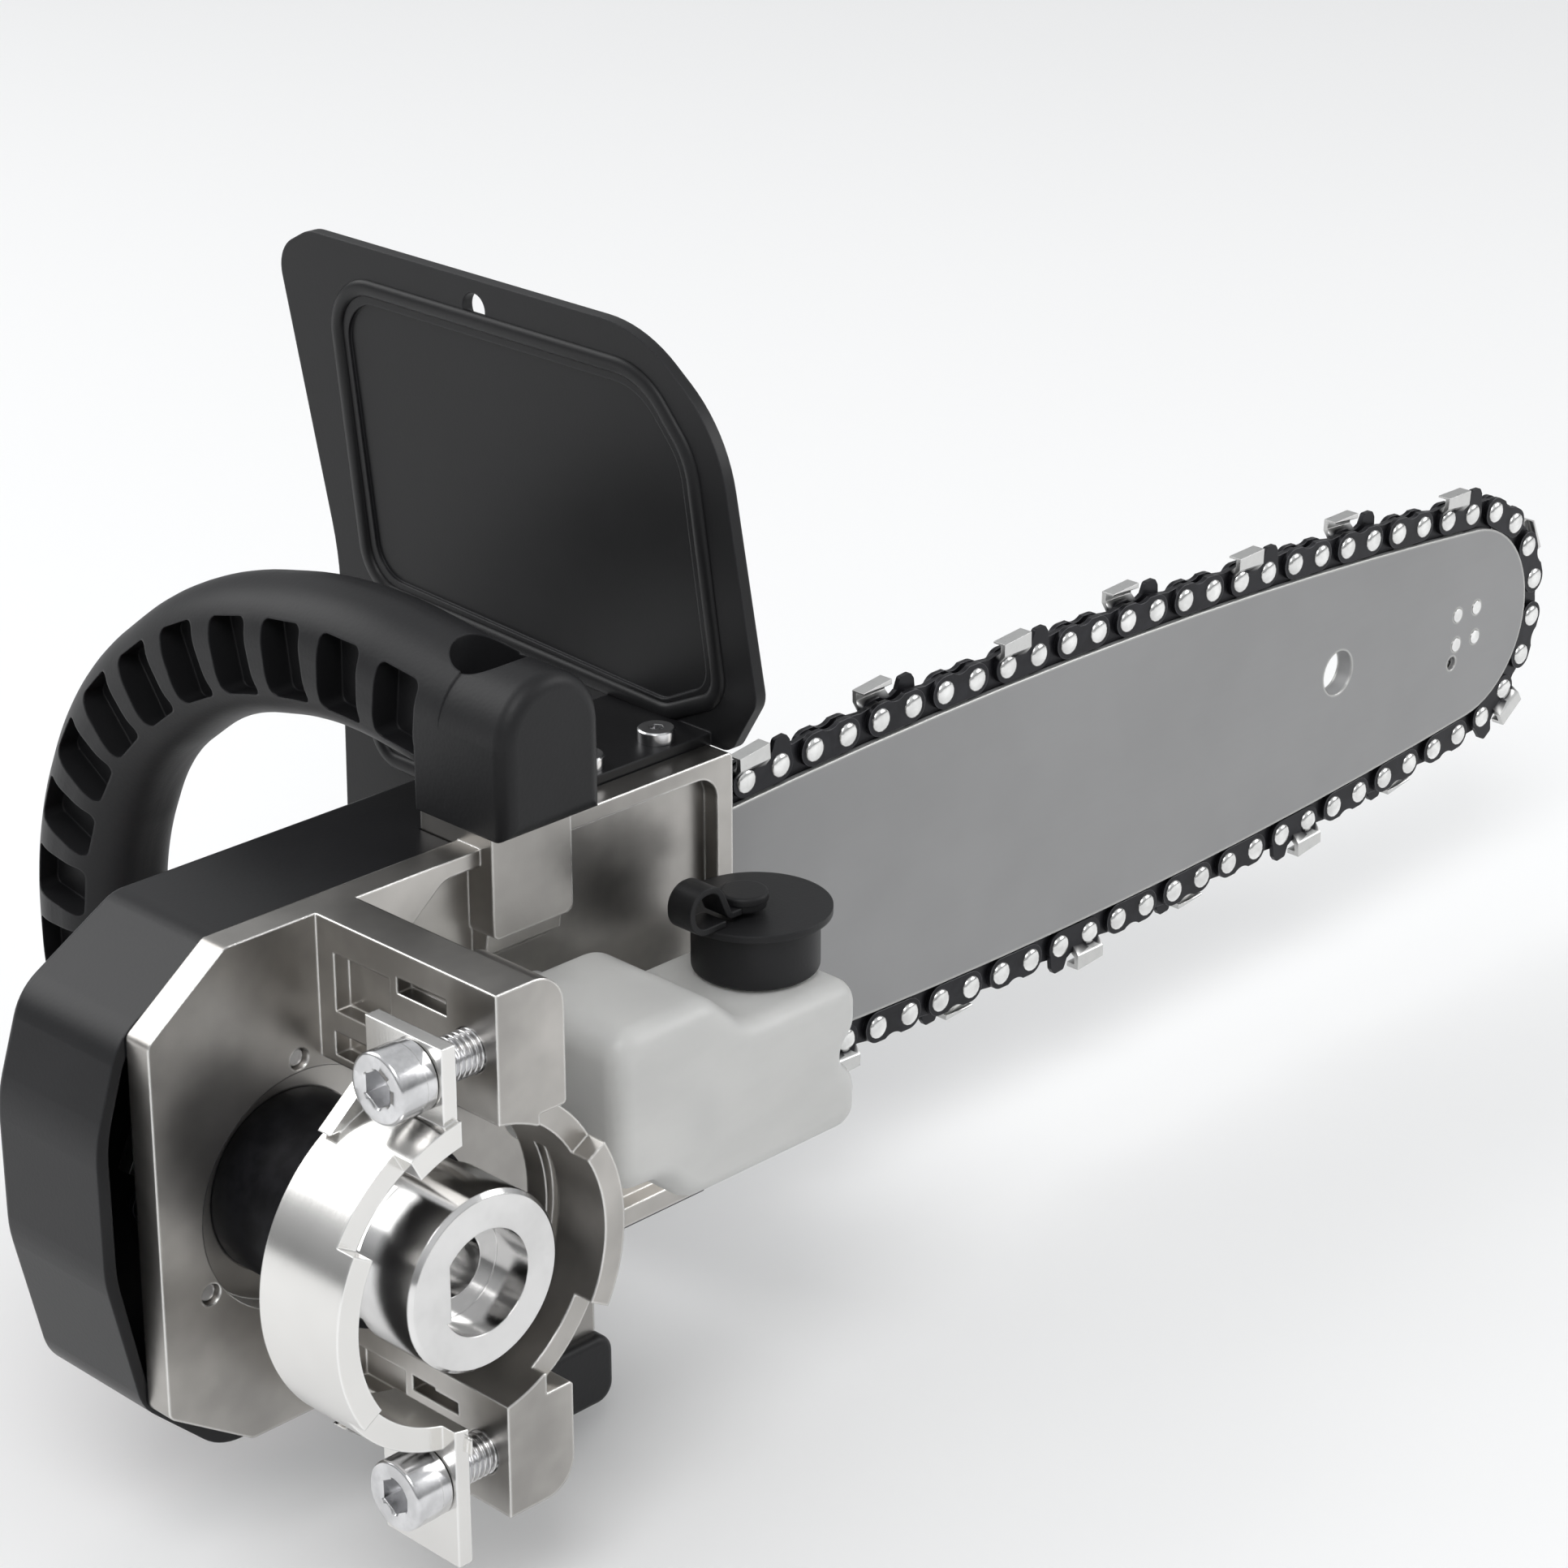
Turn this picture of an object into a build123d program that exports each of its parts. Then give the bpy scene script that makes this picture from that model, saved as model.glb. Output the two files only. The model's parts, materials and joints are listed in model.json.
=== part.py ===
"""Chainsaw attachment for an angle grinder, in millimetres.

Origin: on the drive axis, half way along the clamp ring.  +X runs along the guide bar to its tip,
+Y from the grinder to the sprocket cover, +Z up.
"""
from build123d import *
import math
import os

os.makedirs("parts", exist_ok=True)

# ---- chain: 3/8 inch low-profile, one rivet every pitch
chain_pitch = 9.525
drive_link_count = 46
sprocket_teeth = 6
nose_teeth = 9
gauge = 1.27              # thickness of a drive link
strap_thickness = 1.1
link_gap = 0.05           # side play between a drive link and a strap
strap_radius = 3.5        # a strap reaches this far from its rivet line
tang_depth = 7.6          # a drive link reaches this far below its rivet line
link_end = 3.3            # a drive link reaches this far past its rivets
link_shoulder = (4.4, 4.6)  # where its tang starts to taper: half width and depth
tang_half = 1.7
cutter_height = 6.7       # top plate above the rivet line
cutter_reach = 3.35       # cutter's outer side from the chain's middle plane
rivet_radius = 2.0
rivet_head = 2.75

# ---- guide bar
bar_y = 58.0              # middle plane of bar and chain
bar_thickness = 4.2
bar_belly = 35.0          # rivet line above the axis where the bar is widest
bar_belly_x = 215.0
bar_rail_start_x = 100.0  # where the rail starts to curve down to the sprocket
bar_tail_arc = 300.0
bar_tail_x = 36.0
bar_tail_half = 15.0
rail_gap = 0.15           # strap foot above the rail at the nose
groove_width = 1.6
groove_depth = 5.0
tension_travel = 6.0      # the bar slides back this far

# ---- drive line
shaft_radius = 6.0
sprocket_seat_radius = 5.0
adapter_radius = 16.5
adapter_bore_radius = 9.7
adapter_front_y = -10.0
adapter_back_y = 12.0
thread_core_radius = 5.92  # core of the M14 thread on the grinder's spindle
thread_start_y = -2.0
thread_end_y = 8.0
thread_relief = 1.0       # length of the wide groove between the thread and the shaft's end
thread_relief_radius = 7.5
adapter_hub_radius = 8.0  # hub behind the adapter, up to the front bearing's inner race
running_gap = 0.05        # radial clearance of a running fit
press_gap = 0.03          # radial clearance where pieces are pushed together
bearing_radius = 14.0
bearing_width = 8.0
housing_radius = 17.0
housing_front_y = 13.0
housing_flange_radius = 29.0
housing_flange = 3.0

# ---- clamp ring
ring_bore = 27.5
ring_wall = 4.5
ring_half_width = 10.0
ring_step = 4.2           # the front edge steps back by this much beside the tabs
ring_face_x = 5.0         # where the fixed half of the ring ends
jaw_face_x = -4.0         # where the loose half ends
ear_thickness = 3.0
clamp_screw_z = 38.7
clamp_screw_y = -2.0
clamp_screw_length = 25.0
m8_radius = 4.0
m8_head_radius = 6.5
m8_head = 8.0
m8_clear = 4.4

# ---- casting
plate_y = 37.0
plate_thickness = 6.0
rear_x = -32.0
nose_x = 105.0
rim_z = 51.0
sole_z = -44.5
front_sole_z = -38.0
drive_hole_radius = 22.5
pocket_depth = 3.5
arm_thickness = 9.0
lug_thickness = 15.0
pad_half = 11.0
pad_front_x = 90.0
pad_rear_x = 43.0
slide_gap = 0.1           # play between the bar and what it slides between
stud_x = (50.0, 72.0)

# ---- cover and chain tensioner
cover_outer_y = 72.0
cover_wall = 2.5
cover_gap = 0.3
cover_top_z = 50.0
cover_front_x = 103.0
recess_depth = 3.3
plate_sheet = 1.5
knob_x = 26.0
knob_z = 6.0
knob_radius = 17.0
knob_height = 14.0
knob_lobes = 7
knob_dip = 3.6
cam_shaft_radius = 5.0
cam_sweep = 270.0
pin_radius = 2.2
cam_gap = 0.35

# ---- handle
handle_x = 52.0
handle_width = 23.4
handle_depth = 26.6
handle_round = 11.4       # the grip's corners, nearly a half circle above and below
handle_front_y = 27.5
handle_foot_z = 55.0
handle_top_z = 84.0
post_half = 9.5
tongue_height = 14.4
tongue_top_z = -51.6
bolt_y = 44.0
low_bolt_y = 39.0
window_length = 11.0
window_height = 15.0
window_step = 15.6
window_depth = 7.0

# ---- hand guard
guard_x = 105.6
guard_sheet = 2.5
guard_foot_rear_x = 66.5
guard_screw_x = (78.0, 96.0)
guard_screw_y = 48.0

# ---- oil tank
tank_front_y = 2.0
tank_back_y = 34.0
tank_wall = 2.0
tank_top_z = 17.0
tank_step_z = 25.5
tank_bottom_z = -13.5
tank_rear_x = 42.0
tank_end_x = 104.0
cap_x = 93.0
cap_y = 19.0
cap_radius = 12.0
cap_flange_radius = 14.3
cap_height = 11.3
cap_flange = 1.4
cap_button_radius = 4.6
tether_width = 6.0
tether_thickness = 1.2
neck_radius = 9.5
neck_bore = 7.5

sprocket_radius = chain_pitch / (2 * math.sin(math.pi / (2 * sprocket_teeth)))
nose_radius = chain_pitch / (2 * math.sin(math.pi / (2 * nose_teeth)))
strap_sag = nose_radius * (1 - math.cos(math.pi / (2 * nose_teeth)))
rail_drop = strap_radius + strap_sag + rail_gap
plate_back_y = plate_y + plate_thickness
bar_half = bar_thickness / 2
ring_radius = ring_bore + ring_wall
knob_y = cover_outer_y + 1.0
cover_y = plate_back_y + cover_gap


# ---- helpers

def rod(radius, start, end):
    """Round bar between two points."""
    start, end = Vector(*start), Vector(*end)
    axis = end - start
    return Solid.make_cylinder(radius, axis.length, Plane(start, z_dir=axis.normalized()))


def rod_y(radius, y0, y1, x=0.0, z=0.0):
    """Round bar along Y."""
    return rod(radius, (x, y0, z), (x, y1, z))


def rod_z(radius, z0, z1, x, y):
    """Round bar along Z."""
    return rod(radius, (x, y, z0), (x, y, z1))


def block(x, y, z):
    """Box from three (low, high) pairs."""
    corner = Plane((x[0], y[0], z[0]))
    return Solid.make_box(x[1] - x[0], y[1] - y[0], z[1] - z[0], corner)


def ring_y(outer, inner, y0, y1, x=0.0, z=0.0):
    """Washer or tube along Y."""
    return rod_y(outer, y0, y1, x, z) - rod_y(inner, y0 - 1, y1 + 1, x, z)


def slab_y(face, y0, y1):
    """An outline drawn in X and Z, given thickness along Y."""
    return extrude(Plane.XZ.offset(-y1) * face, amount=y1 - y0)


def slab_x(face, x0, x1):
    """An outline drawn in Y and Z, given thickness along X."""
    return extrude(Plane.YZ.offset(x0) * face, amount=x1 - x0)


def rounded(points, radii):
    """Closed outline with a radius, or a list of radii, at its corners."""
    return make_face(FilletPolyline(*points, radius=radii, close=True))


def box_outline(x0, x1, z0, z1, radius):
    """Rectangle with round corners."""
    return rounded([(x0, z0), (x1, z0), (x1, z1), (x0, z1)], radius)


def hex_socket(across, depth):
    """Hexagonal hole, its mouth at the origin, going along -Z."""
    face = RegularPolygon(across / math.sqrt(3), 6)
    return extrude(face, amount=-depth)


def socket_screw(radius, length, head_radius, head, across):
    """Cap screw: the shank runs along +Z from the origin, the head is below it."""
    body = Solid.make_cylinder(head_radius, head, Plane((0, 0, -head)))
    body = chamfer(body.edges().sort_by(Axis.Z)[0], head_radius * 0.08)
    shank = Solid.make_cylinder(radius, length)
    shank = chamfer(shank.edges().sort_by(Axis.Z)[-1], radius * 0.25)
    hole = Pos(0, 0, -head) * Rot(180, 0, 0) * hex_socket(across, head * 0.55)
    return body + shank - hole


def save(shape, name):
    """Write one node, made of one or more solids."""
    solids = shape.solids() if hasattr(shape, "solids") else ShapeList(shape)
    whole = solids[0] if len(solids) == 1 else Compound(children=list(solids))
    export_step(whole, f"parts/{name}.step")


# ---- the chain's path: the sprocket, a straight run, the rail's two arcs, the nose

def upper_path(tip):
    """Upper half of the rivet line for a nose centred at x = tip, from rear to front.

    Each piece is ("arc", centre, radius, start angle, end angle) or ("line", start, end).
    """
    reach = tip - bar_belly_x
    rail_arc = (reach ** 2 / (bar_belly - nose_radius) + nose_radius + bar_belly) / 2
    rail_centre = (bar_belly_x, bar_belly - rail_arc)
    nose_angle = math.atan2(-rail_centre[1], tip - rail_centre[0])
    join = math.acos((bar_rail_start_x - bar_belly_x) / rail_arc)
    offset = rail_arc - bar_tail_arc
    tail_centre = (rail_centre[0] + offset * math.cos(join), rail_centre[1] + offset * math.sin(join))
    spread = math.acos((sprocket_radius - bar_tail_arc) / math.hypot(*tail_centre))
    leave = math.atan2(tail_centre[1], tail_centre[0]) + spread
    start = polar((0, 0), sprocket_radius, leave)
    end = polar(tail_centre, bar_tail_arc, leave)
    return [
        ("arc", (0, 0), sprocket_radius, math.pi, leave),
        ("line", start, end),
        ("arc", tail_centre, bar_tail_arc, leave, join),
        ("arc", rail_centre, rail_arc, join, nose_angle),
        ("arc", (tip, 0), nose_radius, nose_angle, 0),
    ]


def polar(centre, radius, angle):
    return (centre[0] + radius * math.cos(angle), centre[1] + radius * math.sin(angle))


def piece_length(piece):
    if piece[0] == "line":
        return math.dist(piece[1], piece[2])
    return piece[2] * abs(piece[4] - piece[3])


def path_point(path, distance):
    """The point a given distance along the path."""
    for piece in path:
        length = piece_length(piece)
        if distance <= length or piece is path[-1]:
            break
        distance -= length
    if piece[0] == "line":
        share = distance / length
        return tuple(a + share * (b - a) for a, b in zip(piece[1], piece[2]))
    return polar(piece[1], piece[2], piece[3] - distance / piece[2])


def upper_rivets(tip):
    """Rivet centres on the upper half, and how far the last one is past its place at the nose."""
    path = upper_path(tip)
    distance = sprocket_radius * math.pi / (2 * sprocket_teeth)
    rivets = [path_point(path, distance)]
    for _ in range(drive_link_count - 1):
        step = chain_pitch
        for _ in range(4):
            chord = math.dist(rivets[-1], path_point(path, distance + step))
            step += chain_pitch - chord
        distance += step
        rivets.append(path_point(path, distance))
    place = sum(piece_length(p) for p in path) - nose_radius * math.pi / (2 * nose_teeth)
    return rivets, distance - place


def nose_centre():
    """Where the nose has to be for the chain to close on a whole number of links."""
    low, high = bar_belly_x + 20, bar_belly_x + 400
    for _ in range(50):
        middle = (low + high) / 2
        if upper_rivets(middle)[1] > 0:
            low = middle
        else:
            high = middle
    return middle


bar_nose_x = nose_centre()
upper = upper_rivets(bar_nose_x)[0]
rivets = upper + [(x, -z) for x, z in reversed(upper)]


# ---- chain

def link_place(number):
    """Location of the link between rivet number and the next one, outside of the loop up."""
    (x0, z0), (x1, z1) = rivets[number], rivets[(number + 1) % len(rivets)]
    turn = math.degrees(math.atan2(z1 - z0, x1 - x0))
    return Pos((x0 + x1) / 2, bar_y, (z0 + z1) / 2) * Rot(0, -turn, 0)


def rivet_holes(face):
    hole = rivet_radius + link_gap
    return face - Pos(-chain_pitch / 2, 0) * Circle(hole) - Pos(chain_pitch / 2, 0) * Circle(hole)


def drive_link():
    """Plate with a tang that runs in the bar's groove."""
    side = chain_pitch / 2 + link_end
    shoulder, low = link_shoulder
    face = rounded(
        [(-side, -1.6), (-side, 1.7), (-5.6, 3.3), (0, 2.6), (5.6, 3.3), (side, 1.7), (side, -1.6),
         (shoulder, -low), (tang_half, -tang_depth), (-tang_half, -tang_depth), (-shoulder, -low)], 0.8)
    return slab_y(rivet_holes(face), -gauge / 2, gauge / 2)


def strap_face():
    """Side plate with a waist on its outer edge."""
    face = SlotCenterToCenter(chain_pitch, 2 * strap_radius)
    return face - Pos(0, strap_radius + 3.1) * Circle(strap_radius + 0.4)


def strap(side):
    inner = gauge / 2 + link_gap
    ends = sorted((side * inner, side * (inner + strap_thickness)))
    return slab_y(rivet_holes(strap_face()), *ends)


def cutter(side):
    """Side plate with a depth gauge in front and a folded cutting plate behind."""
    inner = gauge / 2 + link_gap
    outer = inner + strap_thickness
    fin = rounded(
        [(1.9, 1.5), (2.6, 3.6), (3.6, 5.9), (6.6, 6.1), (7.6, 4.6), (7.9, 1.5)],
        [0.2, 1.5, 0.8, 1.0, 0.8, 0.2])
    ends = sorted((side * inner, side * outer))
    body = slab_y(rivet_holes(strap_face()), *ends) + slab_y(fin, *ends)
    wall = strap_thickness
    fold = [(inner, 1.4), (outer, 1.4), (cutter_reach, 3.4), (cutter_reach, cutter_height),
            (0.2, cutter_height), (0.2, cutter_height - wall), (cutter_reach - wall, cutter_height - wall),
            (cutter_reach - wall, 4.0), (inner, 2.7)]
    face = make_face(Polyline(*[(side * y, z) for y, z in fold], close=True))
    plate = slab_x(face, -7.6, 0.6)
    ahead = (Align.MIN, Align.CENTER, Align.CENTER)
    above = (Align.MAX, Align.CENTER, Align.MIN)
    edge = Pos(0.6, side * cutter_reach, 5) * Rot(0, 0, side * 30) * Box(6, 14, 20, align=ahead)
    relief = Pos(0.6, 0, cutter_height) * Rot(0, -5, 0) * Box(20, 10, 4, align=above)
    body += plate - edge - relief
    for x in (-chain_pitch / 2, chain_pitch / 2):
        body -= rod_y(rivet_radius + link_gap, 0, side * outer, x)
        body -= rod_y(rivet_head + 0.15, side * outer, side * (outer + 3), x)
    return body


def chain_rivet():
    """Rivet with a shank through three plates and a head on each side."""
    half = gauge / 2 + link_gap + strap_thickness + link_gap
    head = 0.55
    body = rod_y(rivet_radius, -half - head / 2, half + head / 2)
    for side in (-1, 1):
        ends = sorted((side * half, side * (half + head)))
        body += rod_y(rivet_head, *ends)
    return body


def make_chain():
    """Drive links and straps in turn; every other strap pair carries a cutter, left then right."""
    count = len(rivets)
    link, left, right = drive_link(), strap(-1), strap(1)
    cut_left, cut_right, pin = cutter(-1), cutter(1), chain_rivet()
    save([link_place(n) * link for n in range(1, count, 2)], "drive_links")
    straps, lefts, rights = [], [], []
    for n in range(0, count, 2):
        place, kind = link_place(n), (n // 2) % 4
        lefts += [place * cut_left] if kind == 0 else []
        rights += [place * cut_right] if kind == 2 else []
        straps += [] if kind == 0 else [place * left]
        straps += [] if kind == 2 else [place * right]
    save(straps, "tie_straps")
    save(lefts, "cutters_left")
    save(rights, "cutters_right")
    save([Pos(x, bar_y, z) * pin for x, z in rivets], "chain_rivets")


# ---- guide bar

def bar_outline(inset):
    """The bar's edge, moved inwards by inset."""
    drop = rail_drop + inset
    edges, path = [], upper_path(bar_nose_x)[2:]
    for _, centre, radius, first, last in path:
        angles = (first, (first + last) / 2, last)
        upper_points = [polar(centre, radius - drop, a) for a in angles]
        edges.append(ThreePointArc(*upper_points))
        edges.append(ThreePointArc(*[(x, -z) for x, z in upper_points]))
    rail = polar(path[0][1], path[0][2] - drop, path[0][3])
    corner = (bar_tail_x + 10, bar_tail_half - inset)
    for side in (1, -1):
        edges.append(Line((rail[0], side * rail[1]), (corner[0], side * corner[1])))
    edges.append(ThreePointArc(corner, (bar_tail_x + inset, 0), (corner[0], -corner[1])))
    return make_face(edges)


def make_bar():
    outline = bar_outline(0)
    bar = slab_y(outline, bar_y - bar_half, bar_y + bar_half)
    half = groove_width / 2
    groove = slab_y(outline, bar_y - half, bar_y + half) - slab_y(bar_outline(groove_depth), bar_y - half, bar_y + half)
    bar -= groove
    bar -= rod_y(nose_radius, bar_y - half, bar_y + half, bar_nose_x)
    slot_front = stud_x[1] + tension_travel
    slot = Pos((stud_x[0] + slot_front) / 2, 0) * SlotCenterToCenter(slot_front - stud_x[0], 2 * (m8_radius + 0.25))
    bar -= slab_y(slot, bar_y - bar_half - 1, bar_y + bar_half + 1)
    bar -= rod_y(5.2, bar_y - 5, bar_y + 5, bar_hole_x, 2.0)
    bar -= rod_y(1.6, bar_y - 5, bar_y + 5, bar_hole_x + 44, -8.0)
    bar -= rod_y(pin_radius + press_gap, bar_y - 5, bar_y + 5, pin_x, knob_z)
    for x, z in nose_rivet_places():
        bar -= rod_y(nose_rivet_radius + press_gap, bar_y - 5, bar_y + 5, x, z)
    save(bar, "guide_bar")


nose_hub = 9.0
nose_rivet_radius = 1.6
nose_rivet_circle = 5.2
bar_hole_x = bar_nose_x - 49.0
pin_x = 40.5


def nose_rivet_places():
    return [polar((bar_nose_x, 0), nose_rivet_circle, math.radians(45 + 90 * n)) for n in range(4)]


def make_nose():
    """Toothed nose wheel, the race it turns on and the rivets that hold both."""
    half, tip = gauge / 2 - 0.05, nose_radius - 2.6
    chord = nose_radius * math.cos(math.pi / (2 * nose_teeth))
    shoulder, low = link_shoulder
    mouth, flank = (chord - 1.6, chain_pitch / 2 + link_end + 0.4), (chord - low - 0.4, shoulder + 0.4)
    root = (chord - tang_depth - 0.4, tang_half + 0.4)
    corners = [mouth, flank, root]
    gullet = rounded(corners + [(x, -z) for x, z in reversed(corners)], 0.5)
    wheel = ring_y(tip, nose_hub + running_gap, bar_y - half, bar_y + half, bar_nose_x)
    for n in range(nose_teeth):
        place = Pos(bar_nose_x, bar_y, 0) * Rot(0, 360 / nose_teeth * n, 0)
        wheel -= place * slab_y(gullet, -2, 2)
    save(wheel, "nose_sprocket")
    half = groove_width / 2 - 0.06
    race = rod_y(nose_hub - 0.02, bar_y - half, bar_y + half, bar_nose_x)
    pins = []
    for x, z in nose_rivet_places():
        race -= rod_y(nose_rivet_radius + press_gap, bar_y - 5, bar_y + 5, x, z)
        pins.append(rod_y(nose_rivet_radius, bar_y - bar_half - 0.15, bar_y + bar_half + 0.15, x, z))
    save(race, "nose_bearing")
    save(pins, "nose_rivets")


# ---- drive line

def make_shaft():
    end = sprocket_back_y + 4.0
    shaft = rod_y(shaft_radius, shaft_start_y, sprocket_front_y)
    shaft += rod_y(sprocket_seat_radius, sprocket_front_y - 1, end)
    flat = sprocket_seat_radius - 1.0
    shaft -= block((flat, flat + 5), (sprocket_front_y, end + 1), (-10, 10))
    groove = ring_y(sprocket_seat_radius + 1, sprocket_seat_radius - 0.7, circlip_y - 0.05, circlip_y + 1.05)
    shaft = shaft - groove
    save(shaft, "drive_shaft")


shaft_start_y = thread_end_y + thread_relief + 0.2
sprocket_front_y = bar_y - 3.0
sprocket_back_y = bar_y + 3.0
circlip_y = sprocket_back_y + 1.4


def make_adapter():
    """Sleeve with the grinder's spindle thread in front and the shaft's seat behind."""
    body = rod_y(adapter_radius, adapter_front_y, adapter_back_y)
    body = chamfer(body.edges().filter_by(GeomType.CIRCLE), 0.8)
    body += rod_y(adapter_hub_radius, adapter_back_y - 1, front_bearing_y - slide_gap)
    bore = rod_y(adapter_bore_radius, adapter_front_y - 1, thread_start_y)
    bore -= block((-20, -7.6), (adapter_front_y - 2, thread_start_y + 1), (-4.5, 20))
    body -= bore
    body -= rod_y(thread_core_radius, thread_start_y - 1, thread_end_y)
    body -= rod_y(thread_relief_radius, thread_end_y, thread_end_y + thread_relief)
    body -= rod_y(shaft_radius + press_gap, thread_end_y, front_bearing_y)
    for turn in range(4):
        y = adapter_back_y - 8
        body -= Rot(0, 45 + 90 * turn, 0) * block((adapter_radius - 1.2, 30), (y, y + 9), (-20, 20))
    save(body, "drive_adapter")


def make_housing():
    """Boss that holds both bearings, with a flange behind the casting's plate."""
    flange_end = plate_back_y + housing_flange
    body = rod_y(housing_radius, housing_front_y, flange_end)
    body += rod_y(housing_flange_radius, plate_back_y, flange_end)
    body -= rod_y(bearing_radius + press_gap, housing_front_y - 1, front_bearing_y + bearing_width)
    body -= rod_y(bearing_radius + press_gap, rear_bearing_y, flange_end + 1)
    body -= rod_y(bearing_radius - 2, housing_front_y, flange_end)
    body -= rod_y(bearing_radius + 0.6, front_bearing_y - 1.35, front_bearing_y - 0.05)
    screws = []
    for turn in (90, 210, 330):
        x, z = polar((0, 0), housing_flange_radius - 4, math.radians(turn))
        body -= rod_y(2.1, plate_back_y - 1, flange_end + 1, x, z)
        screws.append(Pos(x, flange_end, z) * Rot(90, 0, 0) * socket_screw(2.0, housing_flange + plate_thickness - 1, 3.5, 2.4, 2.5))
    save(body, "bearing_housing")
    save(screws, "housing_screws")


front_bearing_y = housing_front_y + 2.3
rear_bearing_y = plate_back_y + housing_flange - bearing_width - 0.6


def make_bearing(y, name):
    """Sealed ball bearing: outer race, seal and inner race as one ring with two grooves a side."""
    ring = ring_y(bearing_radius, shaft_radius + running_gap, y, y + bearing_width)
    for low, high in ((bearing_radius - 3, bearing_radius - 2.4), (shaft_radius + 2.2, shaft_radius + 2.8)):
        for start in (y - 1, y + bearing_width - 0.4):
            ring -= ring_y(high, low, start, start + 1.4)
    save(ring, name)


def make_circlips():
    y = front_bearing_y - 1.3
    inner = ring_y(bearing_radius + 0.5, bearing_radius - 1.6, y, y + 1.2)
    save(inner - block((-2.5, 2.5), (y - 1, y + 3), (0, 20)), "bearing_circlip")
    outer = ring_y(sprocket_seat_radius + 2.2, sprocket_seat_radius - 0.65, circlip_y, circlip_y + 1)
    save(outer - block((-1.8, 1.8), (circlip_y - 1, circlip_y + 3), (0, 20)), "sprocket_circlip")


def make_sprocket():
    """Spur sprocket; the chain's tangs sit between its teeth and the straps clear their tips."""
    tip = sprocket_radius * math.cos(math.pi / (2 * sprocket_teeth)) - strap_radius - 0.45
    root = tip - (tang_depth - strap_radius) - 0.1
    body = rod_y(tip, sprocket_front_y, sprocket_back_y) + rod_y(8.5, sprocket_front_y - 4, sprocket_front_y)
    gullet = rounded([(tip + 3, 7.0), (tip - 0.2, 5.3), (root, 2.7), (root, -2.7), (tip - 0.2, -5.3), (tip + 3, -7.0)], 0.6)
    for n in range(sprocket_teeth):
        body -= Rot(0, 360 / sprocket_teeth * n, 0) * slab_y(gullet, sprocket_front_y - 1, sprocket_back_y + 1)
    bore = rod_y(sprocket_seat_radius + press_gap, sprocket_front_y - 9, sprocket_back_y + 1)
    bore -= block((sprocket_seat_radius - 1.0 + press_gap, 20), (sprocket_front_y, 90), (-10, 10))
    body -= bore + rod_y(shaft_radius + press_gap, sprocket_front_y - 9, sprocket_front_y)
    save(body, "chain_sprocket")
    washer = ring_y(11.0, sprocket_seat_radius + press_gap, sprocket_back_y + 0.1, sprocket_back_y + 1.3)
    save(washer, "sprocket_washer")


# ---- clamp

def sector(start, end, radius=60.0):
    """Pie piece in X and Z between two angles in degrees, drawn round the drive axis."""
    steps = 8
    arc = [polar((0, 0), radius, math.radians(start + (end - start) * n / steps)) for n in range(steps + 1)]
    return make_face(Polyline((0, 0), *arc, close=True))


def ring_half(low_x, high_x, tabs):
    """The part of the ring between two values of x, with its tabs in front."""
    tube = ring_y(ring_radius, ring_bore, -ring_half_width + ring_step, ring_half_width)
    front = ring_y(ring_radius, ring_bore, -ring_half_width, -ring_half_width + ring_step)
    for start, end in tabs:
        tube += front & slab_y(sector(start, end), -ring_half_width, -ring_half_width + ring_step)
    return tube & block((low_x, high_x), (-20, 20), (-50, 50))


def make_jaw():
    """Loose half of the ring, an ear at each end with a hole for its screw."""
    body = ring_half(-60, jaw_face_x, ((97, 118), (150, 212), (262, 270)))
    ear_x = (jaw_face_x - ear_thickness, jaw_face_x)
    for side, reach in ((1, 45.4), (-1, 53.5)):
        z = sorted((side * (ring_bore - 1.2), side * reach))
        ear = block(ear_x, (-9, 10), z)
        rib = make_face(Polyline((ear_x[0], side * 37), (ear_x[0], side * 28), (ear_x[0] - 11, side * 28), close=True))
        ear += slab_y(rib, 7, 10)
        body += ear
        body -= rod((m8_clear), (-20, clamp_screw_y, side * clamp_screw_z), (0, clamp_screw_y, side * clamp_screw_z))
    body -= rod_y(ring_bore, -20, 20)
    save(body, "clamp_jaw")


def make_clamp_screws():
    for side, name in ((1, "upper_clamp_screw"), (-1, "lower_clamp_screw")):
        screw = socket_screw(m8_radius, clamp_screw_length, m8_head_radius, m8_head, 6.0)
        place = Pos(jaw_face_x - ear_thickness - slide_gap, clamp_screw_y, side * clamp_screw_z) * Rot(0, 90, 0)
        save(place * screw, name)


# ---- casting

def plate_outline():
    """Octagonal at the rear, straight rim and sole in front."""
    return rounded(
        [(rear_x, -33), (-14.5, sole_z), (58, sole_z), (66, front_sole_z), (nose_x, front_sole_z), (nose_x, rim_z),
         (-14.5, rim_z), (rear_x + 0.5, 38.5)], [2, 2, 3, 3, 2, 1, 2, 2])


def arm(side):
    """Bracket that carries one end of the fixed half ring, with its threaded lug."""
    x0 = ring_face_x
    web_z = sorted((side * 24, side * rim_z if side > 0 else side * 49.0))
    web = block((x0, x0 + arm_thickness), (-9, plate_y + 1), web_z)
    corner = 6.5
    near, far = (26, rim_z) if side > 0 else (28, 49.0)
    corners = [(x0, side * near), (x0 + lug_thickness, side * near), (x0 + lug_thickness, side * far), (x0, side * far)]
    body = web + slab_y(rounded(corners, [0.8, 0.8, 6.5, 0.8]), -9, 7)
    for y0, y1, z0, z1 in pockets(side):
        z = sorted((side * z0, side * z1))
        body -= block((x0 - 1, x0 + 3.2), (y0, y1), z)
    return body


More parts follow.
